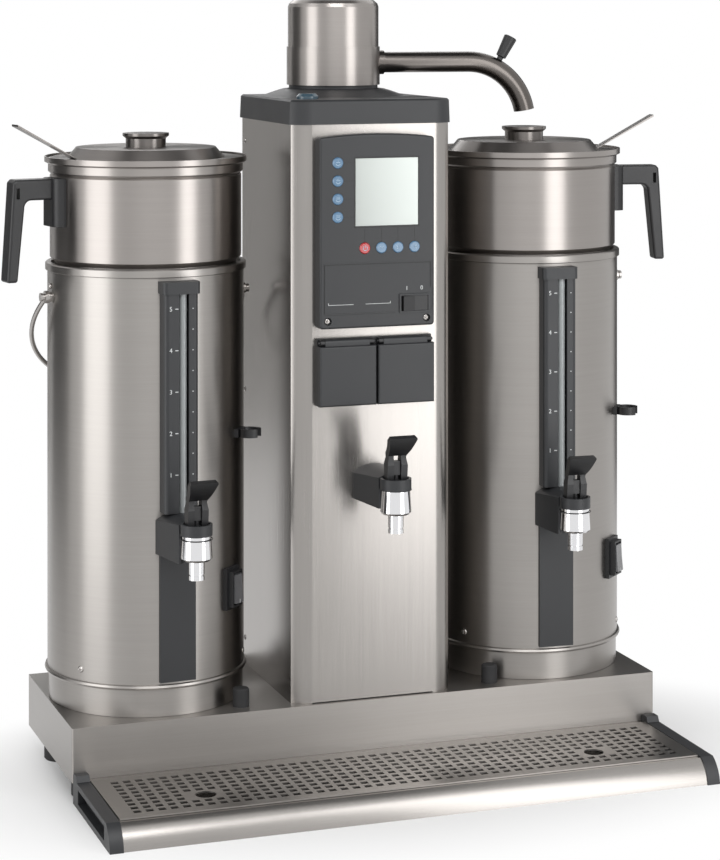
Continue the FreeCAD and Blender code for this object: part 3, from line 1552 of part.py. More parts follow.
def make_side_fittings(prefix, side):
    """The switch surround and the open clip on the container's right side."""
    plate = new_body(f"{prefix}_switch_surround")
    place(plate, x=side * s.can_x, turn=s.switch_bearing)
    half, low, high = s.switch_half, s.switch_bottom, s.switch_top
    wall = s.can_radius
    flat = rectangle(plate, "XZ_Plane", -half, low, half, high, up=wall - s.wall_root)
    pad(plate, flat, s.switch_plate + s.wall_root)
    inset = s.switch_frame_inset
    frame = rectangle(plate, "XZ_Plane", -half + inset, low + inset, half - inset, high - inset, up=wall)
    pad(plate, frame, s.switch_frame)
    inset = inset + s.switch_wall
    well = rectangle(plate, "XZ_Plane", -half + inset, low + inset, half - inset, high - inset,
                     up=wall + s.switch_frame)
    pocket(plate, well, s.switch_recess, back=True)
    pocket(plate, circles(plate, "XY_Plane", [(0, 0, wall)], up=low - 1), high - low + 2)

    clip = new_body(f"{prefix}_cable_clip")
    place(clip, x=side * s.can_x, turn=s.clip_bearing)
    level = s.clip_level - s.clip_height / 2
    centre = -wall - s.clip_out
    half = s.clip_foot_half
    foot = rectangle(clip, "XY_Plane", -half, -wall - s.clip_foot_thick, half, -wall + s.wall_root,
                     up=level)
    pad(clip, foot, s.clip_height)
    pad(clip, circles(clip, "XY_Plane", [(0, centre, s.clip_outer)], up=level), s.clip_height)
    pocket(clip, circles(clip, "XY_Plane", [(0, centre, s.clip_inner)], up=level), s.clip_height)
    half = s.clip_mouth
    mouth = rectangle(clip, "XY_Plane", -half, centre - s.clip_outer - 1, half, centre, up=level)
    pocket(clip, mouth, s.clip_height)
    pocket(clip, circles(clip, "XY_Plane", [(0, 0, wall)], up=level), s.clip_height)
    group(f"{prefix}_side_fittings", [plate, clip])


def make_switch_rocker(prefix, side):
    """The heater's rocker: tips about a level pin, pressed at the top when at rest."""
    body = place(new_body(f"{prefix}_switch_rocker"), x=side * s.can_x, turn=s.switch_bearing)
    inset = s.switch_frame_inset + s.switch_wall + s.slide_gap
    half = s.switch_half - inset
    middle = (s.switch_bottom + s.switch_top) / 2
    long = (s.switch_top - s.switch_bottom) / 2 - inset - s.switch_end_gap
    out = s.can_radius + s.switch_frame
    pivot = out - s.switch_recess / 2
    drop = 2 * long * sine(s.switch_tilt / 2) + s.slide_gap
    profile = outline(body, "YZ_Plane", [
        (-pivot, middle - long + s.slide_gap),
        (-out - s.switch_proud, middle - long + s.slide_gap + drop / 4),
        (-out - s.switch_proud / 2, middle),
        (-out - s.switch_proud / 4, middle + long - s.slide_gap - drop / 4),
        (-pivot, middle + long - s.slide_gap),
    ])
    pad(body, profile, 2 * half, both=True)
    pad(body, circles(body, "YZ_Plane", [(-pivot, middle, s.switch_recess / 4)]), 2 * half, both=True)
    finished(body)


def make_bail(prefix, spot):
    """A carrying bail of round wire: one arc, wider than the container, with a flat eye at each end.
    It hangs from the two ears and leans on the back of the wall."""
    body = place(new_body(f"{prefix}_bail"), **spot)
    tilt = -s.bail_hang
    wire = circles(body, "YZ_Plane", [(s.bail_round, 0, s.bail_wire)], tilt=tilt, about=(0, 0, 1),
                   right=s.bail_middle * cosine(tilt), rise=s.bail_middle * sine(tilt))
    revolve(body, wire, angle=2 * (90 + bearing(s.bail_half, s.bail_middle)), both=True)
    for sign in (-1, 1):
        eye = circles(body, "YZ_Plane", [(0, 0, s.bail_eye)], up=sign * s.bail_half - s.bail_eye_half)
        pad(body, eye, 2 * s.bail_eye_half)
    hole = circles(body, "YZ_Plane", [(0, 0, s.ear_radius + s.pin_gap)])
    pocket(body, hole, None, both=True)
    bind(body, "Placement.Base.z", s.ear_level)
    finished(body)


# Filter pans

def make_filter_pan(prefix, side):
    body = place(new_body(f"{prefix}_filter_pan"), x=side * s.can_x)
    gauge = s.sheet_gauge
    seat = s.can_ledge + s.seat_gap
    outer, rim = s.pan_radius, s.pan_rim
    bulge, groove = s.pan_bulge_bottom, s.pan_groove_height
    tip = seat - s.pan_spout_drop
    sketch = new_sketch(body, "XZ_Plane")
    draw_chain(sketch, [
        (s.pan_spout_bore, tip),
        (s.pan_spout_radius, tip),
        (s.pan_spout_radius, seat + gauge),
        (s.pan_base_radius - gauge, seat + gauge),
        (s.pan_base_radius - gauge, seat),
        (s.pan_base_radius + 2 * gauge, seat),
        (s.pan_base_radius + 2 * gauge, s.pan_body_bottom - gauge),
        (outer - 4, s.pan_body_bottom),
        (outer, s.pan_body_bottom + 4),
        (outer, bulge - groove),
        (s.pan_groove_radius, bulge - groove / 2),
        (s.pan_bulge_radius, bulge + groove / 2),
        (s.pan_bulge_radius, rim - s.pan_rim_height - 1),
        (s.pan_rim_radius, rim - s.pan_rim_height + 1),
        (s.pan_rim_radius, rim),
        (s.pan_rim_radius - gauge, rim),
        (s.pan_rim_radius - gauge, s.pan_ledge),
        (s.pan_bulge_radius - gauge, s.pan_ledge),
        (s.pan_bulge_radius - gauge, bulge + groove / 2),
        (s.pan_groove_radius - gauge, bulge - groove / 2),
        (outer - gauge, bulge - groove),
        (outer - gauge, s.pan_body_bottom + 4 + gauge),
        (s.pan_base_radius, s.pan_body_bottom + gauge),
        (s.pan_spout_bore, seat + 2 * gauge),
    ])
    revolve(body, sketch)
    finished(body)


def make_pan_handle(prefix, side):
    """A moulded handle: a saddle on the pan's wall, an arm outward and a grip that slopes down."""
    turn = -s.handle_bearing if side > 0 else 180 + s.handle_bearing
    body = place(new_body(f"{prefix}_pan_handle"), x=side * s.can_x, turn=turn)
    wall = s.pan_radius
    half = s.handle_saddle_half
    root_x = wall - s.wall_root
    saddle = rectangle(body, "XY_Plane", root_x, -half, wall + s.handle_saddle_out, half,
                       up=s.handle_saddle_bottom)
    pad(body, saddle, s.handle_top - s.handle_saddle_bottom)
    fillet(body, 3 * s.handle_corner_round, lambda edge: upright(edge)
           and edge.Vertexes[0].Point.x > wall.value)
    top, low = s.handle_top, s.handle_grip_bottom
    under = top - s.handle_arm_depth
    out = s.handle_corner
    thick, inner, corner = s.handle_grip_thick, s.handle_inner_round, s.handle_corner_round
    profile = outline(body, "XZ_Plane", [
        (root_x, top),
        (root_x, under),
        (out - thick - inner, under, inner),
        (out - thick, under - inner),
        (s.handle_grip_out - thick + s.handle_taper, low),
        (s.handle_grip_out, low),
        (out, top - corner),
        (out - corner, top),
    ])
    pad(body, profile, 2 * s.handle_half, both=True)
    clear = (wall + s.handle_saddle_out).value + 1
    fillet(body, s.handle_edge_round, lambda edge: all(
        abs(abs(end.Point.y) - s.handle_half.value) < 1e-4 for end in edge.Vertexes)
        and max(end.Point.x for end in edge.Vertexes) > clear)
    x, z, r = s.handle_slot_x, top - s.handle_slot_drop, s.handle_slot_radius
    tall = s.handle_slot_half
    slot = rectangle(body, "XZ_Plane", x - r, z - tall, x + r, z + tall)
    pocket(body, slot, None, both=True)
    trim = circles(body, "XY_Plane", [(0, 0, wall)], up=s.handle_saddle_bottom - 1)
    pocket(body, trim, top - s.handle_saddle_bottom + 2)
    finished(body)


def make_pan_lid(prefix, side):
    """A pressed lid: flat brim on the pan's ledge, cone, flat top, waisted knob and a welded strip."""
    turn = -s.handle_bearing if side > 0 else 180 + s.handle_bearing
    body = place(new_body(f"{prefix}_pan_lid"), x=side * s.can_x, turn=turn)
    gauge = s.sheet_gauge
    seat = s.pan_ledge + s.seat_gap
    top = seat + s.pan_lid_rise
    knob = top + s.knob_height
    waist = s.knob_waist
    sketch = new_sketch(body, "XZ_Plane")
    draw_chain(sketch, [
        (0, top - gauge),
        (s.pan_lid_cone_high, top - gauge),
        (s.pan_lid_cone_low, seat),
        (s.pan_lid_brim, seat),
        (s.pan_lid_brim, seat + gauge),
        (s.pan_lid_cone_low + gauge / 2, seat + gauge),
        (s.pan_lid_cone_high + gauge / 2, top),
        (waist, top),
        (waist, knob - 2 * s.knob_lip),
        (s.knob_radius, knob - s.knob_lip),
        (s.knob_radius, knob),
        (0, knob),
    ])
    revolve(body, sketch)
    rise = s.strip_handle_rise
    foot = seat + gauge
    run = s.strip_handle_out - s.strip_handle_root
    lift = run * sine(rise) / cosine(rise)
    strap = outline(body, "XZ_Plane", [
        (s.strip_handle_root, foot - gauge / 2),
        (s.strip_handle_root + gauge, foot - gauge / 2),
        (s.strip_handle_out, foot + lift - gauge),
        (s.strip_handle_out, foot + lift + gauge / 2),
    ])
    pad(body, strap, 2 * s.strip_handle_half, both=True)
    finished(body)


def make_container(prefix, side):
    spot = container_spot(side)
    reach, level = s.can_tap_reach, s.can_tap_level
    make_vessel(f"{prefix}_container", spot)
    make_bail_ears(prefix, spot)
    make_gauge(prefix, spot)
    make_tap_bracket(f"{prefix}_tap_bracket", spot, reach, level, s.can_bracket_bottom, s.can_bracket_top,
                     s.can_radius - 4, strip_carrier)
    make_tap_body(f"{prefix}_tap_body", spot, reach, level, s.can_outlet_reach, s.liner_floor + s.sheet_gauge)
    make_tap_stem(f"{prefix}_tap_stem", spot, reach, level)
    make_tap_lever(f"{prefix}_tap_lever", spot, reach, level)
    make_side_fittings(prefix, side)
    make_switch_rocker(prefix, side)
    make_bail(prefix, spot)
    make_filter_pan(prefix, side)
    make_pan_handle(prefix, side)
    make_pan_lid(prefix, side)


# Drip tray: a folded channel between moulded end caps, under a punched grille

def make_drip_tray():
    body = place(new_body("drip_tray"))
    gauge = s.sheet_gauge
    rear = s.base_front + s.slide_gap
    ledge, floor = s.tray_ledge, s.tray_floor
    back, lip = s.tray_lip_back, s.tray_lip_front
    front, foot = s.tray_front, s.tray_foot
    bulge = s.tray_lip_bulge
    profile = outline(body, "YZ_Plane", [
        (-rear, floor),
        (-rear, ledge),
        (-rear - s.tray_rear_ledge, ledge),
        (-rear - s.tray_rear_ledge, ledge - gauge),
        (-rear - gauge, ledge - gauge),
        (-rear - gauge, floor + gauge),
        (-front + foot - gauge, floor + gauge),
        (-front + foot - gauge, gauge),
        (-front + 1.2 * gauge, gauge, bulge - gauge),
        (-lip, ledge - gauge),
        (-back, ledge - gauge),
        (-back, ledge),
        (-lip - gauge / 2, ledge, -bulge),
        (-front, 0),
        (-front + foot, 0),
        (-front + foot, floor),
    ])
    pad(body, profile, 2 * s.tray_half, both=True)
    finished(body)


def make_end_cap(side):
    name = "left_end_cap" if side < 0 else "right_end_cap"
    body = place(new_body(name))
    rear = s.base_front + s.slide_gap
    front = s.tray_front
    tall = s.cap_tall
    step = rear + s.cap_rear_depth
    lip = s.tray_lip_front
    outer = outline(body, "YZ_Plane", [
        (-rear, 0),
        (-rear, s.cap_rear_tall - s.cap_rear_bevel),
        (-rear - s.cap_rear_bevel, s.cap_rear_tall),
        (-step + s.cap_rear_bevel, s.cap_rear_tall),
        (-step, tall),
        (-lip - s.cap_proud, tall - 1, -s.tray_lip_bulge),
        (-front - s.cap_proud, 0),
    ], up=side * s.tray_half)
    pad(body, outer, s.cap_width, back=side < 0)
    shelf = rectangle(body, "YZ_Plane", -s.tray_lip_back, s.tray_floor + s.sheet_gauge,
                      -rear - s.tray_rear_ledge, s.tray_ledge, up=side * (s.tray_half - s.cap_shelf))
    pad(body, shelf, s.cap_shelf + 1, back=side < 0)
    edge = s.cap_recess_edge
    recess = rectangle(body, "YZ_Plane", -lip + edge, edge, -step - edge, tall - edge,
                       up=side * (s.tray_half + s.cap_width - s.cap_recess))
    pocket(body, recess, s.cap_recess + 1, back=side < 0)
    return body


def make_drip_grille():
    """One punched plate: rows of slots, left out round the two finger holes."""
    edge = (s.tray_half - s.grille_end_gap).value
    back, front = s.grille_back.value, s.grille_front.value
    base = (s.tray_ledge + s.seat_gap).value
    slot_x, slot_y = s.grille_slot_x.value / 2, s.grille_slot_y.value / 2
    pitch_x, pitch_y = s.grille_pitch_x.value, s.grille_pitch_y.value
    last = s.grille_last_column.value
    first = s.grille_first_row.value
    across = int(2 * last / pitch_x) + 1
    rows = int((front - slot_y - 2 - first) / pitch_y) + 1
    finger = FreeCAD.Vector(s.finger_x.value, -s.finger_y.value, 0)
    clear = s.finger_radius.value + pitch_y / 2

    def loop(left, low, right, high):
        corners = [(left, low), (right, low), (right, high), (left, high), (left, low)]
        return Part.makePolygon([FreeCAD.Vector(x, y, 0) for x, y in corners])

    wires = [loop(-edge, -front, edge, -back)]
    for i in range(across):
        for j in range(rows):
            x = (i - (across - 1) / 2) * pitch_x
            y = -first - j * pitch_y
            if (FreeCAD.Vector(abs(x), y, 0) - finger).Length < clear:
                continue
            wires.append(loop(x - slot_x, y - slot_y, x + slot_x, y + slot_y))
    for side in (-1, 1):
        ring = Part.makeCircle(s.finger_radius.value, FreeCAD.Vector(side * finger.x, finger.y, 0))
        wires.append(Part.Wire(ring))
    plate = Part.makeFace(wires, "Part::FaceMakerBullseye").extrude(FreeCAD.Vector(0, 0, s.sheet_gauge.value))
    grille = doc.addObject("Part::Feature", "drip_grille")
    grille.Label = "drip_grille"
    grille.Shape = plate
    grille.Placement = FreeCAD.Placement(FreeCAD.Vector(0, s.axis_back.value, base), FreeCAD.Rotation())
    finished(grille)


make_base_housing()
make_feet_and_pegs()
make_column_shell()
make_front_cover()
make_column_lid()
make_lid_button()
make_boiler_tank()
make_inlet_valve()
make_arm_head()
make_swivel_tube()
make_arm_grip()
make_control_panel()
make_display_window()
make_keys()
make_power_rocker()
make_socket_block()
make_socket_flaps()
make_hot_tap()
for prefix, side in (("left", -1), ("right", 1)):
    make_container(prefix, side)
make_drip_tray()
group("tray_end_caps", [make_end_cap(-1), make_end_cap(1)])
make_drip_grille()
doc.recompute()

for thing in doc.Objects:
    if "Invalid" in thing.State or "Error" in thing.State:
        raise RuntimeError(f"{thing.Label} failed: {thing.State}")
for piece in parts:
    if piece.Shape.isNull() or not piece.Shape.isValid():
        raise RuntimeError(f"{piece.Label} has no valid shape")
for piece in parts:
    piece.Shape.exportStep(f"parts/{piece.Label}.step")
print(f"{len(parts)} parts written")
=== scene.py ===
"""Looks for the filter coffee brewer: finishes, marks, screws, lamps and camera."""

import math

import bmesh
import bpy
from bpy.props import FloatProperty, FloatVectorProperty, PointerProperty
from mathutils import Matrix, Vector


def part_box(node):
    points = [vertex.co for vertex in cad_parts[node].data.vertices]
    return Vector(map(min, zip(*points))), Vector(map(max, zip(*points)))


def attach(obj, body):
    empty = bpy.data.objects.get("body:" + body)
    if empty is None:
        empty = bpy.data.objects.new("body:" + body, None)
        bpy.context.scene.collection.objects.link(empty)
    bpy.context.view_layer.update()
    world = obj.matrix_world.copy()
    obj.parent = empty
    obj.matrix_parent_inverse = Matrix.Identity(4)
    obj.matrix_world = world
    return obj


bl_info = {
    "name": "Filter Coffee Brewer Looks",
    "version": (1, 0, 0),
    "blender": (4, 5, 0),
    "location": "View3D > Sidebar > Brewer",
    "description": "Finishes, small fittings, lamps and camera for the filter coffee brewer",
    "category": "Object",
}

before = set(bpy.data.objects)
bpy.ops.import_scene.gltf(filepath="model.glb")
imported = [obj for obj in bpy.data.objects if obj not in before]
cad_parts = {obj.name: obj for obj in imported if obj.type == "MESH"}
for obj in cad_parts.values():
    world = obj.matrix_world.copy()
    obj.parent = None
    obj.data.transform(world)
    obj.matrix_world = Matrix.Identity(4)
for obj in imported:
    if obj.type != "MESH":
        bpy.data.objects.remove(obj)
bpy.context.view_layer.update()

MM = 0.001
COLUMN_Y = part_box("arm_head")[0].y / 2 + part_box("arm_head")[1].y / 2 - 24 * MM
CONTAINER_X = 229.9 * MM
CONTAINER_TURN = 3.7
WALL_RADIUS = 109.6
SIDES = {"left": -1, "right": 1}
STUD = [(0, 3.6), (1.6, 3.4), (2.7, 2.6), (3.1, 1.4), (3.1, 0), (0, 0)]
FADE_RATE = 7.0
KEYS = [f"side_key_{i}" for i in range(1, 5)] + ["stop_key"] + [f"menu_key_{i}" for i in range(1, 4)]


# Settings that a user would change


def colour_setting(name, description, default):
    return FloatVectorProperty(
        name=name, description=description, default=default, size=3, min=0, max=1, subtype="COLOR"
    )


def length_setting(name, description, millimetres):
    return FloatProperty(
        name=name, description=description, default=millimetres * MM, min=0, subtype="DISTANCE", unit="LENGTH"
    )


class BrewerFinishes(bpy.types.PropertyGroup):
    steel: colour_setting("Brushed steel", "Sheet of the base, column and containers", (0.335, 0.318, 0.302))
    spun_steel: colour_setting("Spun steel", "Filter pans and spout head", (0.325, 0.303, 0.288))
    # The lid steel is a darker copy of the spun steel: painted shade for the darker reflections on the lids'
    # slopes.
    lid_steel: colour_setting("Lid steel", "Lids of the filter pans", (0.20, 0.186, 0.177))
    # The spout tube's colour is darkened well below the steel's own: painted shade standing for the dark
    # studio that it reflects.
    tube_steel: colour_setting("Tube steel", "Spout tube", (0.13, 0.118, 0.110))
    bright_steel: colour_setting("Bright steel", "Bails, ears and screws", (0.42, 0.40, 0.385))
    chrome: colour_setting("Chrome", "Plating on the taps", (0.44, 0.435, 0.43))
    tank: colour_setting("Tank steel", "Boiler and heating rods", (0.36, 0.35, 0.33))
    brass: colour_setting("Brass", "Water inlet", (0.62, 0.46, 0.22))
    dark_moulding: colour_setting("Dark moulding", "Panel, column lid and flaps", (0.0175, 0.0185, 0.0205))
    black_moulding: colour_setting("Black moulding", "Handles, levers and fittings", (0.010, 0.010, 0.011))
    blue: colour_setting("Blue", "Keys", (0.085, 0.175, 0.285))
    teal: colour_setting("Teal", "Button on the column's lid", (0.05, 0.09, 0.12))
    red: colour_setting("Red", "Stop key", (0.40, 0.022, 0.026))
    display: colour_setting("Display", "Unlit liquid crystal pane", (0.44, 0.475, 0.45))
    print_white: colour_setting("Print", "Numbers and ticks", (0.62, 0.64, 0.64))
    print_pale: colour_setting("Key print", "Symbols on the keys", (0.30, 0.42, 0.52))
    # This near-black colour also paints the shade of the engraved groove round the field on the panel.
    print_dark: colour_setting("Dark print", "Lines on the panel", (0.004, 0.004, 0.004))
    rocker: colour_setting("Rocker", "Switch rockers beside the containers", (0.10, 0.10, 0.105))
    rubber: colour_setting("Rubber", "Feet and pegs", (0.016, 0.016, 0.017))


class BrewerMarks(bpy.types.PropertyGroup):
    number_height: length_setting("Number height", "Height of the litre numbers", 6.6)
    litre_pitch: length_setting("Litre pitch", "Distance between litre marks", 44.6)
    first_litre: length_setting("First litre", "Height of the mark for one litre", 343.2)
    tick_length: length_setting("Tick length", "Length of the litre ticks", 3.4)
    print_thickness: length_setting("Print thickness", "How far printed marks stand out", 0.12)
    screw_radius: length_setting("Screw radius", "Radius of the small sheet screws", 3)


class BrewerStage(bpy.types.PropertyGroup):
    floor: colour_setting("Floor", "Floor and background", (0.9, 0.9, 0.9))
    card: colour_setting("Card", "Dark cards beside the lamps", (0.12, 0.12, 0.12))
    pale_card: colour_setting("Pale card", "Grey card behind the brewer", (0.72, 0.71, 0.70))
    lens: FloatProperty(name="Lens", description="Focal length of the camera", default=103.5, min=1,
                        subtype="DISTANCE_CAMERA", unit="CAMERA")
    yaw: FloatProperty(name="Yaw", description="How far the camera turns to the right",
                       default=math.radians(19.24), subtype="ANGLE", unit="ROTATION")
    pitch: FloatProperty(name="Pitch", description="How far the camera looks down",
                         default=math.radians(0.2), subtype="ANGLE", unit="ROTATION")
    floor_reach: FloatProperty(name="Floor reach", description="Where the floor starts to fade to white",
                               default=0.2, min=0, subtype="DISTANCE", unit="LENGTH")
    lamp_level: FloatProperty(name="Lamp level", description="Strength of all the lamps together",
                              default=1.0, min=0)
    world_level: FloatProperty(name="World level", description="Strength of the even light all round",
                               default=0.42, min=0)


# Shader maths


class Wire:
    """A socket that takes part in sums: each step adds its own node."""

    def __init__(self, tree, socket):
        self.tree = tree
        self.socket = socket

    def maths(self, operation, *others):
        node = self.tree.nodes.new("ShaderNodeMath")
        node.operation = operation
        for slot, value in zip(node.inputs, others):
            if isinstance(value, Wire):
                self.tree.links.new(value.socket, slot)
            else:
                slot.default_value = value
        return Wire(self.tree, node.outputs[0])

    def __add__(self, other):
        return self.maths("ADD", self, other)

    def __sub__(self, other):
        return self.maths("SUBTRACT", self, other)

    def __mul__(self, other):
        return self.maths("MULTIPLY", self, other)

    def __rsub__(self, other):
        return self.maths("SUBTRACT", other, self)

    __radd__ = __add__
    __rmul__ = __mul__


class Finish:
    """A material being mixed: a principled shader, with nodes added in front of it."""

    def __init__(self, name, colour, **settings):
        self.material = bpy.data.materials.new(name)
        self.material.use_nodes = True
        self.tree = self.material.node_tree
        self.shader = self.tree.nodes["Principled BSDF"]
        self.colour = tuple(colour)
        self.material.diffuse_color = (*colour, 1)
        self.shader.inputs["Base Color"].default_value = (*colour, 1)
        for name, value in settings.items():
            self.shader.inputs[name.replace("_", " ").title()].default_value = value
        self.place = self.node("ShaderNodeTexCoord").outputs["Object"]

    def node(self, kind, settings=None, inputs=None):
        node = self.tree.nodes.new(kind)
        for name, value in (settings or {}).items():
            setattr(node, name, value)
        for name, value in (inputs or {}).items():
            self.join(node, name, value)
        return node

    def join(self, node, name, value):
        if isinstance(value, Wire):
            value = value.socket
        if isinstance(value, bpy.types.NodeSocket):
            self.tree.links.new(value, node.inputs[name])
        else:
            node.inputs[name].default_value = value

    def grain(self, stretch, scale=1.0, detail=4.0, rough=0.6):
        """Noise over the object's own place, stretched by three factors per metre."""
        stretched = self.node("ShaderNodeVectorMath", {"operation": "MULTIPLY"}, {0: self.place, 1: stretch})
        noise = self.node(
            "ShaderNodeTexNoise", None,
            {"Vector": stretched.outputs[0], "Scale": scale, "Detail": detail, "Roughness": rough},
        )
        return Wire(self.tree, noise.outputs["Factor" if "Factor" in noise.outputs else "Fac"])

    def tint(self, amount, darker, lighter):
        """The base colour, going from darker to lighter times itself with the amount."""
        low = [c * darker for c in self.colour] + [1]
        high = [min(c * lighter, 1) for c in self.colour] + [1]
        mix = self.node("ShaderNodeMix", {"data_type": "RGBA"}, {"Factor": amount})
        mix.inputs[6].default_value = low
        mix.inputs[7].default_value = high
        self.join(self.shader, "Base Color", mix.outputs[2])
        return mix.outputs[2]

    def set(self, name, value):
        self.join(self.shader, name, value)

    def bump(self, height, distance, strength=1.0):
        values = {"Height": height, "Distance": distance, "Strength": strength}
        node = self.node("ShaderNodeBump", None, values)
        self.join(self.shader, "Normal", node.outputs[0])


STREAKS = {
    "level": (14, 14, 900),
    "upright": (700, 700, 9),
    "sideways": (10, 700, 700),
}


def brushed_steel(name, colour, streak="level", rough=0.34, spread=0.08, aniso=0.7, cloud=0.1):
    """Satin sheet: long fine scratches one way, faint clouds and fingerprints."""
    finish = Finish(name, colour, metallic=1.0, roughness=rough, anisotropic=aniso, anisotropic_rotation=0.25)
    fine = finish.grain(STREAKS[streak], 1.0, 5.0, 0.7)
    long = finish.grain(tuple(v * 0.22 for v in STREAKS[streak]), 1.0, 3.0, 0.5)
    clouds = finish.grain((1, 1, 1), 7.0, 3.0, 0.5)
    finish.tint(fine * 0.45 + long * 0.25 + clouds * 0.3, 1 - cloud * 1.6, 1 + cloud * 1.4)
    finish.set("Roughness", fine * spread + clouds * (spread * 0.6) + (rough - spread * 0.8))
    finish.bump(fine, 0.00004, 0.35)
    return finish.material


def bright_metal(name, colour, rough, **settings):
    """Smooth bright metal: faint smears and pin scratches."""
    finish = Finish(name, colour, metallic=1.0, roughness=rough, **settings)
    smear = finish.grain((1, 1, 1), 26.0, 4.0, 0.55)
    pin = finish.grain((240, 240, 60), 1.0, 3.0, 0.6)
    finish.tint(smear, 0.9, 1.06)
    finish.set("Roughness", smear * (rough * 0.7) + pin * (rough * 0.3) + rough * 0.55)
    finish.bump(pin, 0.00001, 0.3)
    return finish.material


def moulded(name, colour, rough=0.42, texture=0.0001, pitch=1900.0, **settings):
    """Moulded plastic: spark-eroded texture, faint flow marks and rubbed patches."""
    finish = Finish(name, colour, roughness=rough, **settings)
    pits = finish.grain((1, 1, 1), pitch, 2.0, 0.6)
    flow = finish.grain((1, 1, 1), 22.0, 4.0, 0.6)
    finish.tint(flow * 0.7 + pits * 0.3, 0.78, 1.3)
    finish.set("Roughness", flow * 0.12 + pits * 0.08 + (rough - 0.1))
    finish.bump(pits, texture, 0.5)
    return finish.material


def gloss_moulded(name, colour):
    return moulded(name, colour, rough=0.22, texture=0.00002, coat_weight=0.5, coat_roughness=0.08)


def rubber(name, colour):
    return moulded(name, colour, rough=0.72, texture=0.0002, pitch=1200.0)


def display_pane(name, colour):
    """Unlit liquid crystal: pale pane with a fine dot grid and uneven edges under gloss, and a painted
    reflection that lightens it a little towards the top and strongly towards the right.
    """
    finish = Finish(name, colour, roughness=0.3, coat_weight=0.4, coat_roughness=0.05)
    low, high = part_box("display_window")
    split = finish.node("ShaderNodeSeparateXYZ", None, {"Vector": finish.place})
    across, up = Wire(finish.tree, split.outputs["X"]), Wire(finish.tree, split.outputs["Z"])
    dots = 0
    for axis, start in ((across, low.x), (up, low.z)):
        phase = (axis - start).maths("FRACT", (axis - start) * (1 / 0.00115))
        dots = phase.maths("LESS_THAN", phase, 0.14) + dots
    mottle = finish.grain((1, 1, 1), 14.0, 2.0, 0.5)
    height = (up - low.z) * (1 / (high.z - low.z))
    side = (across - low.x) * (1 / (high.x - low.x))
    # height and side paint a reflection: the pane lightens a little towards the top and strongly towards the
    # right.
    finish.tint(mottle * 0.1 + height * 0.15 + side * 0.75 - dots * 0.06, 0.86, 1.5)
    finish.set("Roughness", mottle * 0.08 + 0.16)
    return finish.material


def clear_tube(name):
    """Glass tube, slightly milky from tea stain and wear."""
    finish = Finish(name, (0.46, 0.485, 0.49), roughness=0.06, transmission_weight=0.45)
    finish.set("IOR", 1.47)
    film = finish.grain((60, 60, 12), 1.0, 3.0, 0.5)
    finish.tint(film, 0.9, 1.06)
    finish.set("Roughness", film * 0.1 + 0.03)
    return finish.material


def printed(name, colour):
    """Thin pad print: nearly even, with slightly worn ink."""
    finish = Finish(name, colour, roughness=0.5)
    wear = finish.grain((1, 1, 1), 420.0, 3.0, 0.6)
    finish.tint(wear, 0.84, 1.1)
    finish.set("Roughness", wear * 0.2 + 0.4)
    return finish.material


def seen_by_eye(tree):
    """One for what the camera sees straight, in a mirror or through glass, and nought for light."""
    path = tree.nodes.new("ShaderNodeLightPath")
    seen = Wire(tree, path.outputs["Is Camera Ray"])
    for ray in ("Is Glossy Ray", "Is Transmission Ray"):
        seen = seen.maths("MAXIMUM", seen, Wire(tree, path.outputs[ray]))
    return seen


# Mesh making


def spot(x, y, z):
    """A place in millimetres from the column's axis."""
    return Matrix.Translation((x * MM, y * MM + COLUMN_Y, z * MM))


def container_axis(side):
    """The middle of a container at ground level, turned as the container stands."""
    return Matrix.Translation((side * CONTAINER_X, COLUMN_Y, 0)) @ Matrix.Rotation(
        math.radians(-side * CONTAINER_TURN), 4, "Z"
    )


def on_wall(place, bearing, radius, height):
    """A frame on a round wall: its Z looks out of the wall and its Y looks up."""
    turned = place @ Matrix.Rotation(math.radians(bearing), 4, "Z")
    return turned @ Matrix.Translation((0, -radius * MM, height * MM)) @ Matrix.Rotation(math.pi / 2, 4, "X")


def facing_front(x, y, z):
    """A frame on a wall that looks to the front: its Z looks out and its Y looks up."""
    return spot(x, y, z) @ Matrix.Rotation(math.pi / 2, 4, "X")


def new_piece(name, mesh, body, material, smooth=True):
    piece = bpy.data.objects.new(name, mesh)
    bpy.context.scene.collection.objects.link(piece)
    mesh.materials.append(material)
    for face in mesh.polygons:
        face.use_smooth = smooth
    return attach(piece, body)


def finish_mesh(name, build):
    mesh = bpy.data.meshes.new(name)
    bmesh.ops.recalc_face_normals(build, faces=build.faces)
    build.to_mesh(mesh)
    build.free()
    return mesh


def add_turned(build, profile, place, steps=48):
    """Turns a profile of radius and height, in millimetres, about the place's Z."""
    rings = []
    for radius, height in profile:
        if radius == 0:
            rings.append([build.verts.new(place @ Vector((0, 0, height * MM)))] * steps)
            continue
        ring = []
        for i in range(steps):
            angle = 2 * math.pi * i / steps
            point = Vector((radius * math.cos(angle), radius * math.sin(angle), height)) * MM
            ring.append(build.verts.new(place @ point))
        rings.append(ring)
    for low, high in zip(rings, rings[1:]):
        for i in range(steps):
            j = (i + 1) % steps
            corners = list(dict.fromkeys((low[i], low[j], high[j], high[i])))
            if len(corners) > 2:
                build.faces.new(corners)


def add_block(build, place, width, height, depth):
    """A thin block on a wall frame, in millimetres, standing out by its depth."""
    grid = [(x, y, z) for x in (-0.5, 0.5) for y in (-0.5, 0.5) for z in (0, 1)]
    corners = [
        build.verts.new(place @ (Vector((x * width, y * height, z * depth)) * MM)) for x, y, z in grid
    ]
    for loop in ((0, 1, 3, 2), (4, 6, 7, 5), (0, 4, 5, 1), (2, 3, 7, 6), (0, 2, 6, 4), (1, 5, 7, 3)):
        build.faces.new([corners[i] for i in loop])


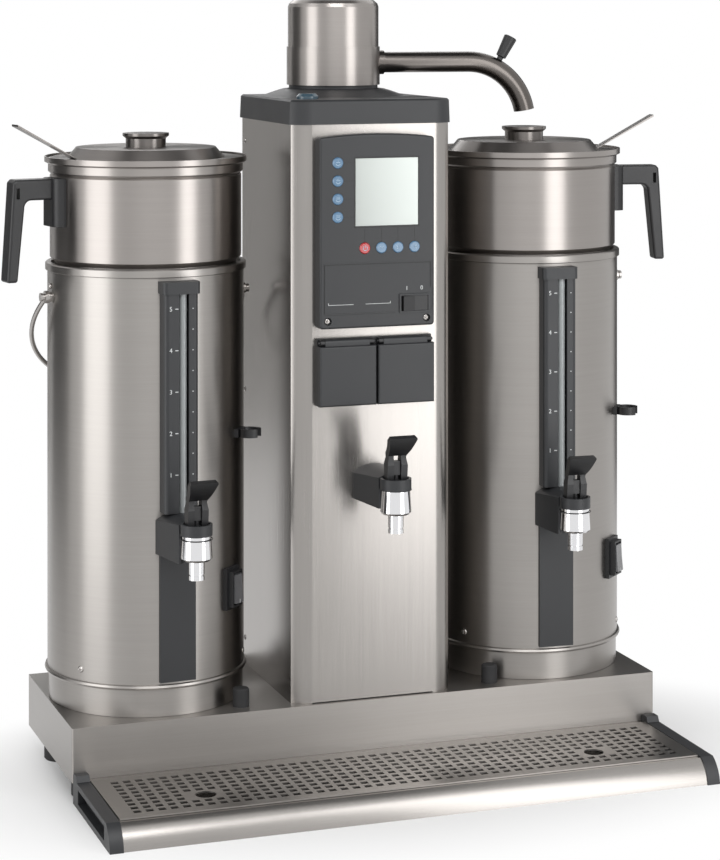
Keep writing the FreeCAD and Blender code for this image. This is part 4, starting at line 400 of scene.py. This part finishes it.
def add_screw(build, place, radius, rings=9, steps=40):
    """A domed head with a cross recess, its underside on the wall."""
    grid = []
    for i in range(rings + 1):
        share = i / rings
        ring = []
        for j in range(steps):
            angle = 2 * math.pi * j / steps
            x, y = share * math.cos(angle), share * math.sin(angle)
            height = 0.42 * math.sqrt(max(1.0 - share**2 * 0.92, 0.0))
            arm = min(abs(x), abs(y))
            if arm < 0.13 and max(abs(x), abs(y)) < 0.56:
                height -= 0.3 * (1 - arm / 0.16)
            ring.append(build.verts.new(place @ (Vector((x, y, height)) * radius * MM)))
        grid.append(ring)
    rim = [
        build.verts.new(place @ (Vector((math.cos(a), math.sin(a), -0.1)) * radius * MM))
        for a in (2 * math.pi * j / steps for j in range(steps))
    ]
    grid.append(rim)
    for inner, outer in zip(grid, grid[1:]):
        for j in range(steps):
            k = (j + 1) % steps
            build.faces.new((inner[j], outer[j], outer[k], inner[k]))
    bmesh.ops.remove_doubles(build, verts=grid[0], dist=1e-7)


def add_text(build, words, place, height, thickness):
    """Figures as thin raised print, in millimetres, centred on the place."""
    curve = bpy.data.curves.new("print_outline", "FONT")
    curve.body = words
    curve.size = height * 1.38 * MM
    curve.extrude = thickness * MM / 2
    curve.align_x = "CENTER"
    curve.align_y = "CENTER"
    shape = bpy.data.objects.new("print_outline", curve)
    bpy.context.scene.collection.objects.link(shape)
    mesh = bpy.data.meshes.new_from_object(shape.evaluated_get(bpy.context.evaluated_depsgraph_get()))
    mesh.transform(place @ Matrix.Translation((0, 0, thickness * MM / 2)))
    build.from_mesh(mesh)
    bpy.data.objects.remove(shape)
    bpy.data.curves.remove(curve)
    bpy.data.meshes.remove(mesh)


def add_arc(build, place, radius, width, start, end, depth, steps=14):
    """A thin raised arc on a wall frame, in millimetres and degrees."""
    rails = []
    for i in range(steps + 1):
        angle = math.radians(start + (end - start) * i / steps)
        across = Vector((math.cos(angle), math.sin(angle), 0))
        rails.append([
            build.verts.new(place @ ((across * r + Vector((0, 0, z))) * MM))
            for r, z in ((radius - width / 2, 0), (radius - width / 2, depth),
                         (radius + width / 2, depth), (radius + width / 2, 0))
        ])
    for low, high in zip(rails, rails[1:]):
        for a, b in ((0, 1), (1, 2), (2, 3), (3, 0)):
            build.faces.new((low[a], low[b], high[b], high[a]))
    build.faces.new(rails[0])
    build.faces.new(reversed(rails[-1]))


def dress(node, material):
    """Gives a carried-over node its material."""
    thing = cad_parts[node]
    thing.data.materials.clear()
    thing.data.materials.append(material)


def finishes():
    return bpy.context.scene.brewer_finishes


def marks():
    return bpy.context.scene.brewer_marks


def material(name, make, *values, **settings):
    """A material by name, mixed the first time that it is asked for."""
    return bpy.data.materials.get(name) or make(name, *values, **settings)


def black():
    return material("black_moulding", moulded, finishes().black_moulding)


def dark():
    return material("dark_moulding", moulded, finishes().dark_moulding, rough=0.46)


def ink():
    return material("white_print", printed, finishes().print_white)


def plated():
    return material("chrome", bright_metal, finishes().chrome, 0.13)


def bright():
    return material("bright_steel", bright_metal, finishes().bright_steel, 0.16, anisotropic=0.3)


# Operators


class BuildStep(bpy.types.Operator):
    """Holds the register and undo options; no step of the brewer is built on it."""

    bl_options = {"REGISTER", "UNDO"}


class BREWER_OT_housing(bpy.types.Operator):
    """Finishes the base, column, boiler and water inlet"""

    bl_idname = "brewer.housing"
    bl_label = "Base and Column"

    side_wall = 92.7
    side_screw_depth = 72
    side_screw_heights = (110, 400, 690)
    back_wall = 84
    back_screw_spread = 70
    back_screw_heights = (140, 420, 700)

    def execute(self, context):
        colours = finishes()
        level = material("base_steel", brushed_steel, colours.steel, "level", rough=0.36)
        upright = material("column_steel", brushed_steel, colours.steel, "upright", rough=0.26, spread=0.07)
        dress("base_housing", level)
        dress("column_shell", upright)
        dress("front_cover", upright)
        dress("column_lid", dark())
        dress("boiler_tank", material("tank_steel", brushed_steel, colours.tank, "level", rough=0.34))
        dress("inlet_valve", material("brass", bright_metal, colours.brass, 0.26))
        rubber_black = material("rubber", rubber, colours.rubber)
        dress("feet_and_pegs", rubber_black)
        dress("lid_button", material("teal_moulding", gloss_moulded, colours.teal))
        self.add_screws()
        return {"FINISHED"}

    def add_screws(self):
        build = bmesh.new()
        size = marks().screw_radius / MM
        for side in (-1, 1):
            for height in self.side_screw_heights:
                wall = spot(side * self.side_wall, self.side_screw_depth, height)
                add_screw(build, wall @ Matrix.Rotation(side * math.pi / 2, 4, "Y"), size)
        for side in (-1, 1):
            for height in self.back_screw_heights:
                wall = spot(side * self.back_screw_spread, self.back_wall, height)
                add_screw(build, wall @ Matrix.Rotation(-math.pi / 2, 4, "X"), size)
        new_piece("sheet_screws", finish_mesh("sheet_screws", build), "machine", bright())


class BREWER_OT_panel(bpy.types.Operator):
    """Finishes the control panel, its keys, display and power switch"""

    bl_idname = "brewer.panel"
    bl_label = "Control Panel"

    face = 129.4
    pocket_depth = 0.35
    field_left = -61.6
    field_right = 62.4
    field_top = 563
    field_bottom = 508
    switch_left = 20.4
    line_width = 0.5
    trim_width = 1.6
    screw_spread = 57.7
    screw_height = 501.2
    screw_depth = 2.9

    def execute(self, context):
        colours = finishes()
        dress("control_panel", dark())
        dress("display_window", material("display_pane", display_pane, colours.display))
        blue = material("blue_moulding", gloss_moulded, colours.blue)
        for key in KEYS:
            dress(key, blue)
        dress("stop_key", material("red_moulding", gloss_moulded, colours.red))
        dress("power_rocker", black())
        self.print_symbols()
        self.print_panel()
        self.print_lines()
        self.add_trim()
        return {"FINISHED"}

    def print_symbols(self):
        thin = marks().print_thickness / MM
        pale = material("pale_print", printed, finishes().print_pale)
        for number, key in enumerate(KEYS):
            low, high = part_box(key)
            middle = (low + high) / 2
            place = Matrix.Translation((middle.x, low.y, middle.z)) @ Matrix.Rotation(math.pi / 2, 4, "X")
            build = bmesh.new()
            if number < 4:
                add_arc(build, place, 2.6, 0.7, 200, 340, thin)
                add_block(build, place @ Matrix.Translation((0, 0.6 * MM, 0)), 4.4, 0.7, thin)
                for step in range(number + 1):
                    dot = place @ Matrix.Translation(((step - number / 2) * 1.3 * MM, 2.2 * MM, 0))
                    add_block(build, dot, 0.7, 0.7, thin)
            elif key == "stop_key":
                add_arc(build, place, 2.5, 0.7, -230, 50, thin)
                add_block(build, place @ Matrix.Translation((0, 1.9 * MM, 0)), 0.7, 2.6, thin)
            else:
                slant = {5: 0, 6: 90, 7: -90}[number]
                turned = place @ Matrix.Rotation(math.radians(slant), 4, "Z")
                for side in (-1, 1):
                    arm = turned @ Matrix.Rotation(math.radians(side * 45), 4, "Z")
                    add_block(build, arm @ Matrix.Translation((side * 1.2 * MM, 0, 0)), 3.0, 0.7, thin)
            name = f"{key}_symbol"
            new_piece(name, finish_mesh(name, build), f"{key}_body", pale, smooth=False)

    def print_panel(self):
        thin = marks().print_thickness / MM
        build = bmesh.new()
        face = -self.face + self.pocket_depth
        for words, across in (("1", 34.5), ("0", 52.0)):
            add_text(build, words, facing_front(across, face, 534.5), 4.6, thin)
        for low, high in ((-57, -28), (-14, 15)):
            add_block(build, facing_front((low + high) / 2, face, 519), high - low, self.line_width, thin)
        for end in (-57, 15):
            add_block(build, facing_front(end, face, 520), self.line_width, 2.6, thin)
        new_piece("panel_print", finish_mesh("panel_print", build), "machine", ink(),
                  smooth=False)

    def print_lines(self):
        """Dark lines: from the keys to the display, and round the field above the switch; the frame round the
        field is painted shade of an engraved groove.
        """
        build = bmesh.new()
        thin = marks().print_thickness / MM
        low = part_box("display_window")[0]
        key_gap, display_gap, fine = 0.8, 2, 0.4
        for number, key in enumerate(KEYS):
            left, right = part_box(key)
            x, z = (left.x + right.x) / 2 / MM, (left.z + right.z) / 2 / MM
            if number < 4:
                start, end = right.x / MM + key_gap, low.x / MM - display_gap
                add_block(build, facing_front((start + end) / 2, -self.face, z), end - start, fine, thin)
            else:
                start, end = right.z / MM + key_gap, low.z / MM - display_gap
                add_block(build, facing_front(x, -self.face, (start + end) / 2), fine, end - start, thin)
        left, right, top, bottom = self.field_left, self.field_right, self.field_top, self.field_bottom
        line = self.line_width
        for x, z, width, height in (
            ((left + right) / 2, top, 124.4, line),
            (left, (top + bottom) / 2, line, 55),
            (right, 549, line, 28),
            ((left + self.switch_left) / 2, bottom, 82, line),
        ):
            add_block(build, facing_front(x, -self.face, z), width, height, thin)
        new_piece("panel_lines", finish_mesh("panel_lines", build), "machine",
                  material("dark_print", printed, finishes().print_dark), smooth=False)

    def add_trim(self):
        build = bmesh.new()
        low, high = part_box("display_window")
        left, right = low.x / MM - 0.2, high.x / MM + 0.2
        bottom, top = low.z / MM - 0.2, high.z / MM + 0.2
        wide = self.trim_width
        for x, z, width, height in (
            ((left + right) / 2, top + wide / 2, right - left + 2 * wide, wide),
            ((left + right) / 2, bottom - wide / 2, right - left + 2 * wide, wide),
            (left - wide / 2, (bottom + top) / 2, wide, top - bottom),
            (right + wide / 2, (bottom + top) / 2, wide, top - bottom),
        ):
            add_block(build, facing_front(x, -self.face, z), width, height, 0.35)
        mesh = finish_mesh("display_trim", build)
        piece = new_piece("display_trim", mesh, "machine", black(), smooth=False)
        bevel = piece.modifiers.new("soft edge", "BEVEL")
        bevel.width = 0.0002
        build = bmesh.new()
        for side in (-1, 1):
            place = facing_front(side * self.screw_spread, -self.face + self.screw_depth, self.screw_height)
            add_screw(build, place, 3.4)
        new_piece("panel_screws", finish_mesh("panel_screws", build), "machine", bright())


class BREWER_OT_sockets(bpy.types.Operator):
    """Finishes the sockets and their flaps, and adds the contact pins"""

    bl_idname = "brewer.sockets"
    bl_label = "Sockets"

    socket_spread = 34
    socket_height = 440.5
    well_floor = 102.4
    pin_spread = 9.5
    pin_profile = ((0, 0), (2.2, 0), (2.2, 5.2), (1.6, 6), (0, 6))

    def execute(self, context):
        dress("socket_block", black())
        for side in SIDES:
            dress(f"{side}_socket_flap", dark())
        build = bmesh.new()
        for middle in (-self.socket_spread, self.socket_spread):
            for pin in (-self.pin_spread, self.pin_spread):
                place = facing_front(middle + pin, -self.well_floor, self.socket_height)
                add_turned(build, self.pin_profile, place, 20)
        new_piece("contact_pins", finish_mesh("contact_pins", build), "machine",
                  material("brass", bright_metal, finishes().brass, 0.26))
        return {"FINISHED"}


class BREWER_OT_spout(bpy.types.Operator):
    """Finishes the spout head, its tube and grip"""

    bl_idname = "brewer.spout"
    bl_label = "Spout"

    def execute(self, context):
        colours = finishes()
        dress("arm_head", material("spun_steel", brushed_steel, colours.spun_steel, "level", rough=0.33))
        # The spout tube gets the darkened steel: painted shade of dark reflections.
        dress("swivel_tube", material("tube_steel", brushed_steel, colours.tube_steel, "level", rough=0.24,
                                      spread=0.05, aniso=0.0, cloud=0.05))
        dress("arm_grip", black())
        return {"FINISHED"}


class BREWER_OT_taps(bpy.types.Operator):
    """Finishes the three taps and their brackets, and adds the seal rings"""

    bl_idname = "brewer.taps"
    bl_label = "Taps"

    def execute(self, context):
        for prefix in ("hot_tap", "left_tap", "right_tap"):
            dress(f"{prefix}_bracket", dark())
            dress(f"{prefix}_body", plated())
            # The stems are black so that the gap between the lever's legs reads dark: painted shade.
            dress(f"{prefix}_stem", black())
            dress(f"{prefix}_lever", black())
        on_container = Matrix.Translation((0, -0.173, 0.2572))
        places = {
            "hot": ("machine", spot(0, -188, 298.5)),
            "left": ("left_vessel_body", container_axis(-1) @ on_container),
            "right": ("right_vessel_body", container_axis(1) @ on_container),
        }
        turns = [math.pi * i / 6 for i in range(7)]
        ring = [(16.9 + 0.5 * math.sin(turn), 26.5 - 0.5 * math.cos(turn)) for turn in turns]
        for name, (body, place) in places.items():
            build = bmesh.new()
            add_turned(build, ring, place)
            new_piece(f"{name}_tap_ring", finish_mesh(f"{name}_tap_ring", build), body,
                      material("rubber", rubber, finishes().rubber))
        return {"FINISHED"}


class BREWER_OT_containers(bpy.types.Operator):
    """Finishes the two containers with gauges, fittings and bails, and prints the litre marks"""

    bl_idname = "brewer.containers"
    bl_label = "Containers"

    gauge_face = 125.5
    switch_bearing = 43
    switch_face = 122.6
    switch_height = 206
    screw_bearings = (-58, 62, 182)
    screw_height = 127
    stud_height = 538

    def execute(self, context):
        colours = finishes()
        steel = material("container_steel", brushed_steel, colours.steel, "level", rough=0.35)
        for name, side in SIDES.items():
            dress(f"{name}_container", steel)
            dress(f"{name}_gauge_housing", dark())
            dress(f"{name}_gauge_glass", material("gauge_glass", clear_tube))
            dress(f"{name}_side_fittings", black())
            dress(f"{name}_switch_rocker", material("rocker_moulding", gloss_moulded, colours.rocker))
            dress(f"{name}_bail", bright())
            dress(f"{name}_bail_ears", bright())
            self.print_gauge(name, side)
            self.add_fixings(name, side)
        return {"FINISHED"}

    def print_gauge(self, name, side):
        sizes = marks()
        thin = sizes.print_thickness / MM
        build = bmesh.new()
        place = container_axis(side)
        for litre in range(1, 6):
            height = sizes.first_litre / MM + (litre - 1) * sizes.litre_pitch / MM
            level = on_wall(place, 0, self.gauge_face, height)
            number = level @ Matrix.Translation((-0.0125, 0, 0))
            add_text(build, str(litre), number, sizes.number_height / MM * 0.75, thin)
            tick = level @ Matrix.Translation((-0.0058, 0, 0))
            add_block(build, tick, sizes.tick_length / MM, 0.9, thin)
        for half in range(1, 11):
            height = sizes.first_litre / MM + (half - 2) * sizes.litre_pitch / MM / 2
            dot = on_wall(place, 0, self.gauge_face, height) @ Matrix.Translation((0.0125, 0, 0))
            add_block(build, dot, 1.2, 1.0, thin)
        new_piece(f"{name}_litre_marks", finish_mesh(f"{name}_litre_marks", build), f"{name}_vessel_body",
                  ink(), smooth=False)
        build = bmesh.new()
        upright = spot(side * CONTAINER_X / MM, 0, 0)
        wall = on_wall(upright, self.switch_bearing, self.switch_face, self.switch_height)
        add_block(build, wall @ Matrix.Translation((0, -0.0125, 0)), 0.9, 4.4, thin)
        new_piece(f"{name}_switch_mark", finish_mesh(f"{name}_switch_mark", build), f"{name}_rocker_body",
                  ink(), smooth=False)

    def add_fixings(self, name, side):
        build = bmesh.new()
        place = container_axis(side)
        for bearing in self.screw_bearings:
            add_screw(build, on_wall(place, bearing, WALL_RADIUS, self.screw_height), 3.6)
        for bearing in (-90, 90):
            add_turned(build, STUD, on_wall(place, bearing, WALL_RADIUS, self.stud_height), 24)
        new_piece(f"{name}_container_screws", finish_mesh(f"{name}_container_screws", build),
                  f"{name}_vessel_body", bright())


class BREWER_OT_pans(bpy.types.Operator):
    """Finishes the filter pans, handles and lids"""

    bl_idname = "brewer.pans"
    bl_label = "Filter Pans"

    def execute(self, context):
        colours = finishes()
        spun = material("spun_steel", brushed_steel, colours.spun_steel, "level", rough=0.33)
        # The lids get the darker copy of the spun steel: painted shade.
        lid = material("lid_steel", brushed_steel, colours.lid_steel, "level", rough=0.3)
        for name in SIDES:
            dress(f"{name}_filter_pan", spun)
            dress(f"{name}_pan_lid", lid)
            dress(f"{name}_pan_handle", black())
        return {"FINISHED"}


class BREWER_OT_tray(bpy.types.Operator):
    """Finishes the drip tray, its end caps and grille"""

    bl_idname = "brewer.tray"
    bl_label = "Drip Tray"

    def execute(self, context):
        colours = finishes()
        dress("drip_tray", material("tray_steel", brushed_steel, colours.steel, "sideways", rough=0.26,
                                    spread=0.04, aniso=0.3))
        dress("drip_grille", material("grille_steel", brushed_steel, colours.steel, "sideways", rough=0.3))
        dress("tray_end_caps", dark())
        return {"FINISHED"}


class BREWER_OT_stage(bpy.types.Operator):
    """Sets up the floor, the lamps, the world and the camera"""

    bl_idname = "brewer.stage"
    bl_label = "Stage"

    def execute(self, context):
        stage = context.scene.brewer_stage
        self.add_floor(stage)
        self.light_world(context, stage)
        self.add_lamps(context, stage)
        self.add_cards(stage)
        self.add_camera(context, stage)
        context.scene.view_settings.view_transform = "Standard"
        return {"FINISHED"}

    def add_floor(self, stage):
        """A matt floor that fades into the plain white of the background away from the brewer."""
        build = bmesh.new()
        bmesh.ops.create_grid(build, x_segments=1, y_segments=1, size=9)
        mesh = finish_mesh("floor", build)
        floor = bpy.data.objects.new("floor", mesh)
        bpy.context.scene.collection.objects.link(floor)
        paint = Finish("floor", stage.floor, roughness=0.9)
        paint.set("Roughness", paint.grain((1, 1, 1), 3.0) * 0.1 + 0.85)
        squash = (0.62, 1, 1)
        flat = paint.node("ShaderNodeVectorMath", {"operation": "MULTIPLY"}, {0: paint.place, 1: squash})
        away = paint.node("ShaderNodeVectorMath", {"operation": "LENGTH"}, {0: flat.outputs[0]})
        fade = Wire(paint.tree, away.outputs["Value"])
        fade = fade.maths("SMOOTH_MIN", (fade - stage.floor_reach) * FADE_RATE, 1.0, 0.2)
        fade = fade.maths("MAXIMUM", fade, 0.0) * seen_by_eye(paint.tree)
        white = paint.node("ShaderNodeEmission", None, {"Color": (1, 1, 1, 1), "Strength": 1.0})
        both = {0: fade, 1: paint.shader.outputs[0], 2: white.outputs[0]}
        blend = paint.node("ShaderNodeMixShader", None, both)
        paint.join(paint.tree.nodes["Material Output"], "Surface", blend.outputs[0])
        mesh.materials.append(paint.material)

    def light_world(self, context, stage):
        world = bpy.data.worlds.new("studio")
        context.scene.world = world
        world.use_nodes = True
        tree = world.node_tree
        background = tree.nodes["Background"]
        strength = seen_by_eye(tree) * (1 - stage.world_level) + stage.world_level
        background.inputs["Color"].default_value = (1, 1, 1, 1)
        tree.links.new(strength.socket, background.inputs["Strength"])

    def add_lamps(self, context, stage):
        lamps = (
            ("left_softbox", (-1.15, -0.247, 0.74), (-0.1, 0.02, 0.74), (0.55, 1.46), 5.8),
            ("right_softbox", (0.5, -0.93, 0.72), (0.1, 0.07, 0.72), (0.42, 1.42), 5.4),
            ("front_softbox", (-0.4, -2.0, 2.3), (0, 0, 0.4), (1.6, 0.9), 30),
            ("back_softbox", (0.6, 2.3, 1.7), (0, 0, 0.4), (1.8, 1.0), 10),
        )
        for name, place, target, extent, power in lamps:
            data = bpy.data.lights.new(name, "AREA")
            data.shape = "RECTANGLE"
            data.size, data.size_y = extent
            data.energy = power * stage.lamp_level
            lamp = bpy.data.objects.new(name, data)
            context.scene.collection.objects.link(lamp)
            lamp.visible_camera = False
            lamp.location = place
            lamp.rotation_euler = (Vector(target) - Vector(place)).to_track_quat("-Z", "Y").to_euler()

    def add_cards(self, stage):
        """Cards out of view, which draw the edges of the metal."""
        dark_card = material("card", moulded, stage.card, rough=0.8)
        pale_card = material("pale_card", moulded, stage.pale_card, rough=0.8)
        cards = (
            ("left_card", (-1.35, 1.1, 0.7), (0, 0.08, 0.7), 1.1, 1.5, dark_card),
            ("right_card", (1.15, 1.25, 0.7), (0.2, 0.08, 0.7), 1.2, 1.5, dark_card),
            ("back_card", (0.45, 1.9, 0.6), (0, 0.08, 0.6), 0.8, 1.4, dark_card),
            ("side_card", (-0.55, 1.95, 0.7), (-0.1, 0.08, 0.7), 0.9, 1.5, pale_card),
            ("top_card", (0, 0.25, 2.4), (0, 0.24, 0.4), 2.0, 1.7, dark_card),
        )
        for name, place, target, width, height, paint in cards:
            build = bmesh.new()
            frame_of_card = (Vector(target) - Vector(place)).to_track_quat("Z", "Y").to_matrix().to_4x4()
            frame_of_card.translation = place
            add_block(build, frame_of_card, width / MM, height / MM, 4)
            mesh = finish_mesh(name, build)
            card = bpy.data.objects.new(name, mesh)
            bpy.context.scene.collection.objects.link(card)
            card.visible_camera = False
            mesh.materials.append(paint)

    def add_camera(self, context, stage):
        data = bpy.data.cameras.new("camera")
        camera = bpy.data.objects.new("camera", data)
        context.scene.collection.objects.link(camera)
        data.lens = stage.lens
        data.sensor_width = 36
        data.shift_y = -0.4855
        data.clip_end = 50
        camera.location = spot(-916.7, -2696.9, 849.6).translation
        camera.rotation_euler = (math.pi / 2 - stage.pitch, 0, -stage.yaw)
        context.scene.camera = camera


class BREWER_PT_sidebar(bpy.types.Panel):
    """Lists the steps that dress the brewer, and their settings"""

    bl_idname = "BREWER_PT_sidebar"
    bl_label = "Coffee Brewer"
    bl_space_type = "VIEW_3D"
    bl_region_type = "UI"
    bl_category = "Brewer"

    def draw(self, context):
        for step in STEPS:
            self.layout.operator(step.bl_idname)
        for group in (context.scene.brewer_finishes, context.scene.brewer_marks, context.scene.brewer_stage):
            column = self.layout.column(align=True)
            for name in group.__annotations__:
                column.prop(group, name)


SETTINGS = {"brewer_finishes": BrewerFinishes, "brewer_marks": BrewerMarks, "brewer_stage": BrewerStage}
STEPS = (
    BREWER_OT_housing,
    BREWER_OT_panel,
    BREWER_OT_sockets,
    BREWER_OT_spout,
    BREWER_OT_taps,
    BREWER_OT_containers,
    BREWER_OT_pans,
    BREWER_OT_tray,
    BREWER_OT_stage,
)


def register():
    for kind in (*SETTINGS.values(), *STEPS, BREWER_PT_sidebar):
        bpy.utils.register_class(kind)
    for name, kind in SETTINGS.items():
        setattr(bpy.types.Scene, name, PointerProperty(type=kind))


def unregister():
    for name in SETTINGS:
        delattr(bpy.types.Scene, name)
    for kind in (BREWER_PT_sidebar, *reversed(STEPS), *reversed(SETTINGS.values())):
        bpy.utils.unregister_class(kind)


def main():
    register()
    for step in STEPS:
        group, name = step.bl_idname.split(".")
        getattr(getattr(bpy.ops, group), name)()


if __name__ == "__main__":
    main()
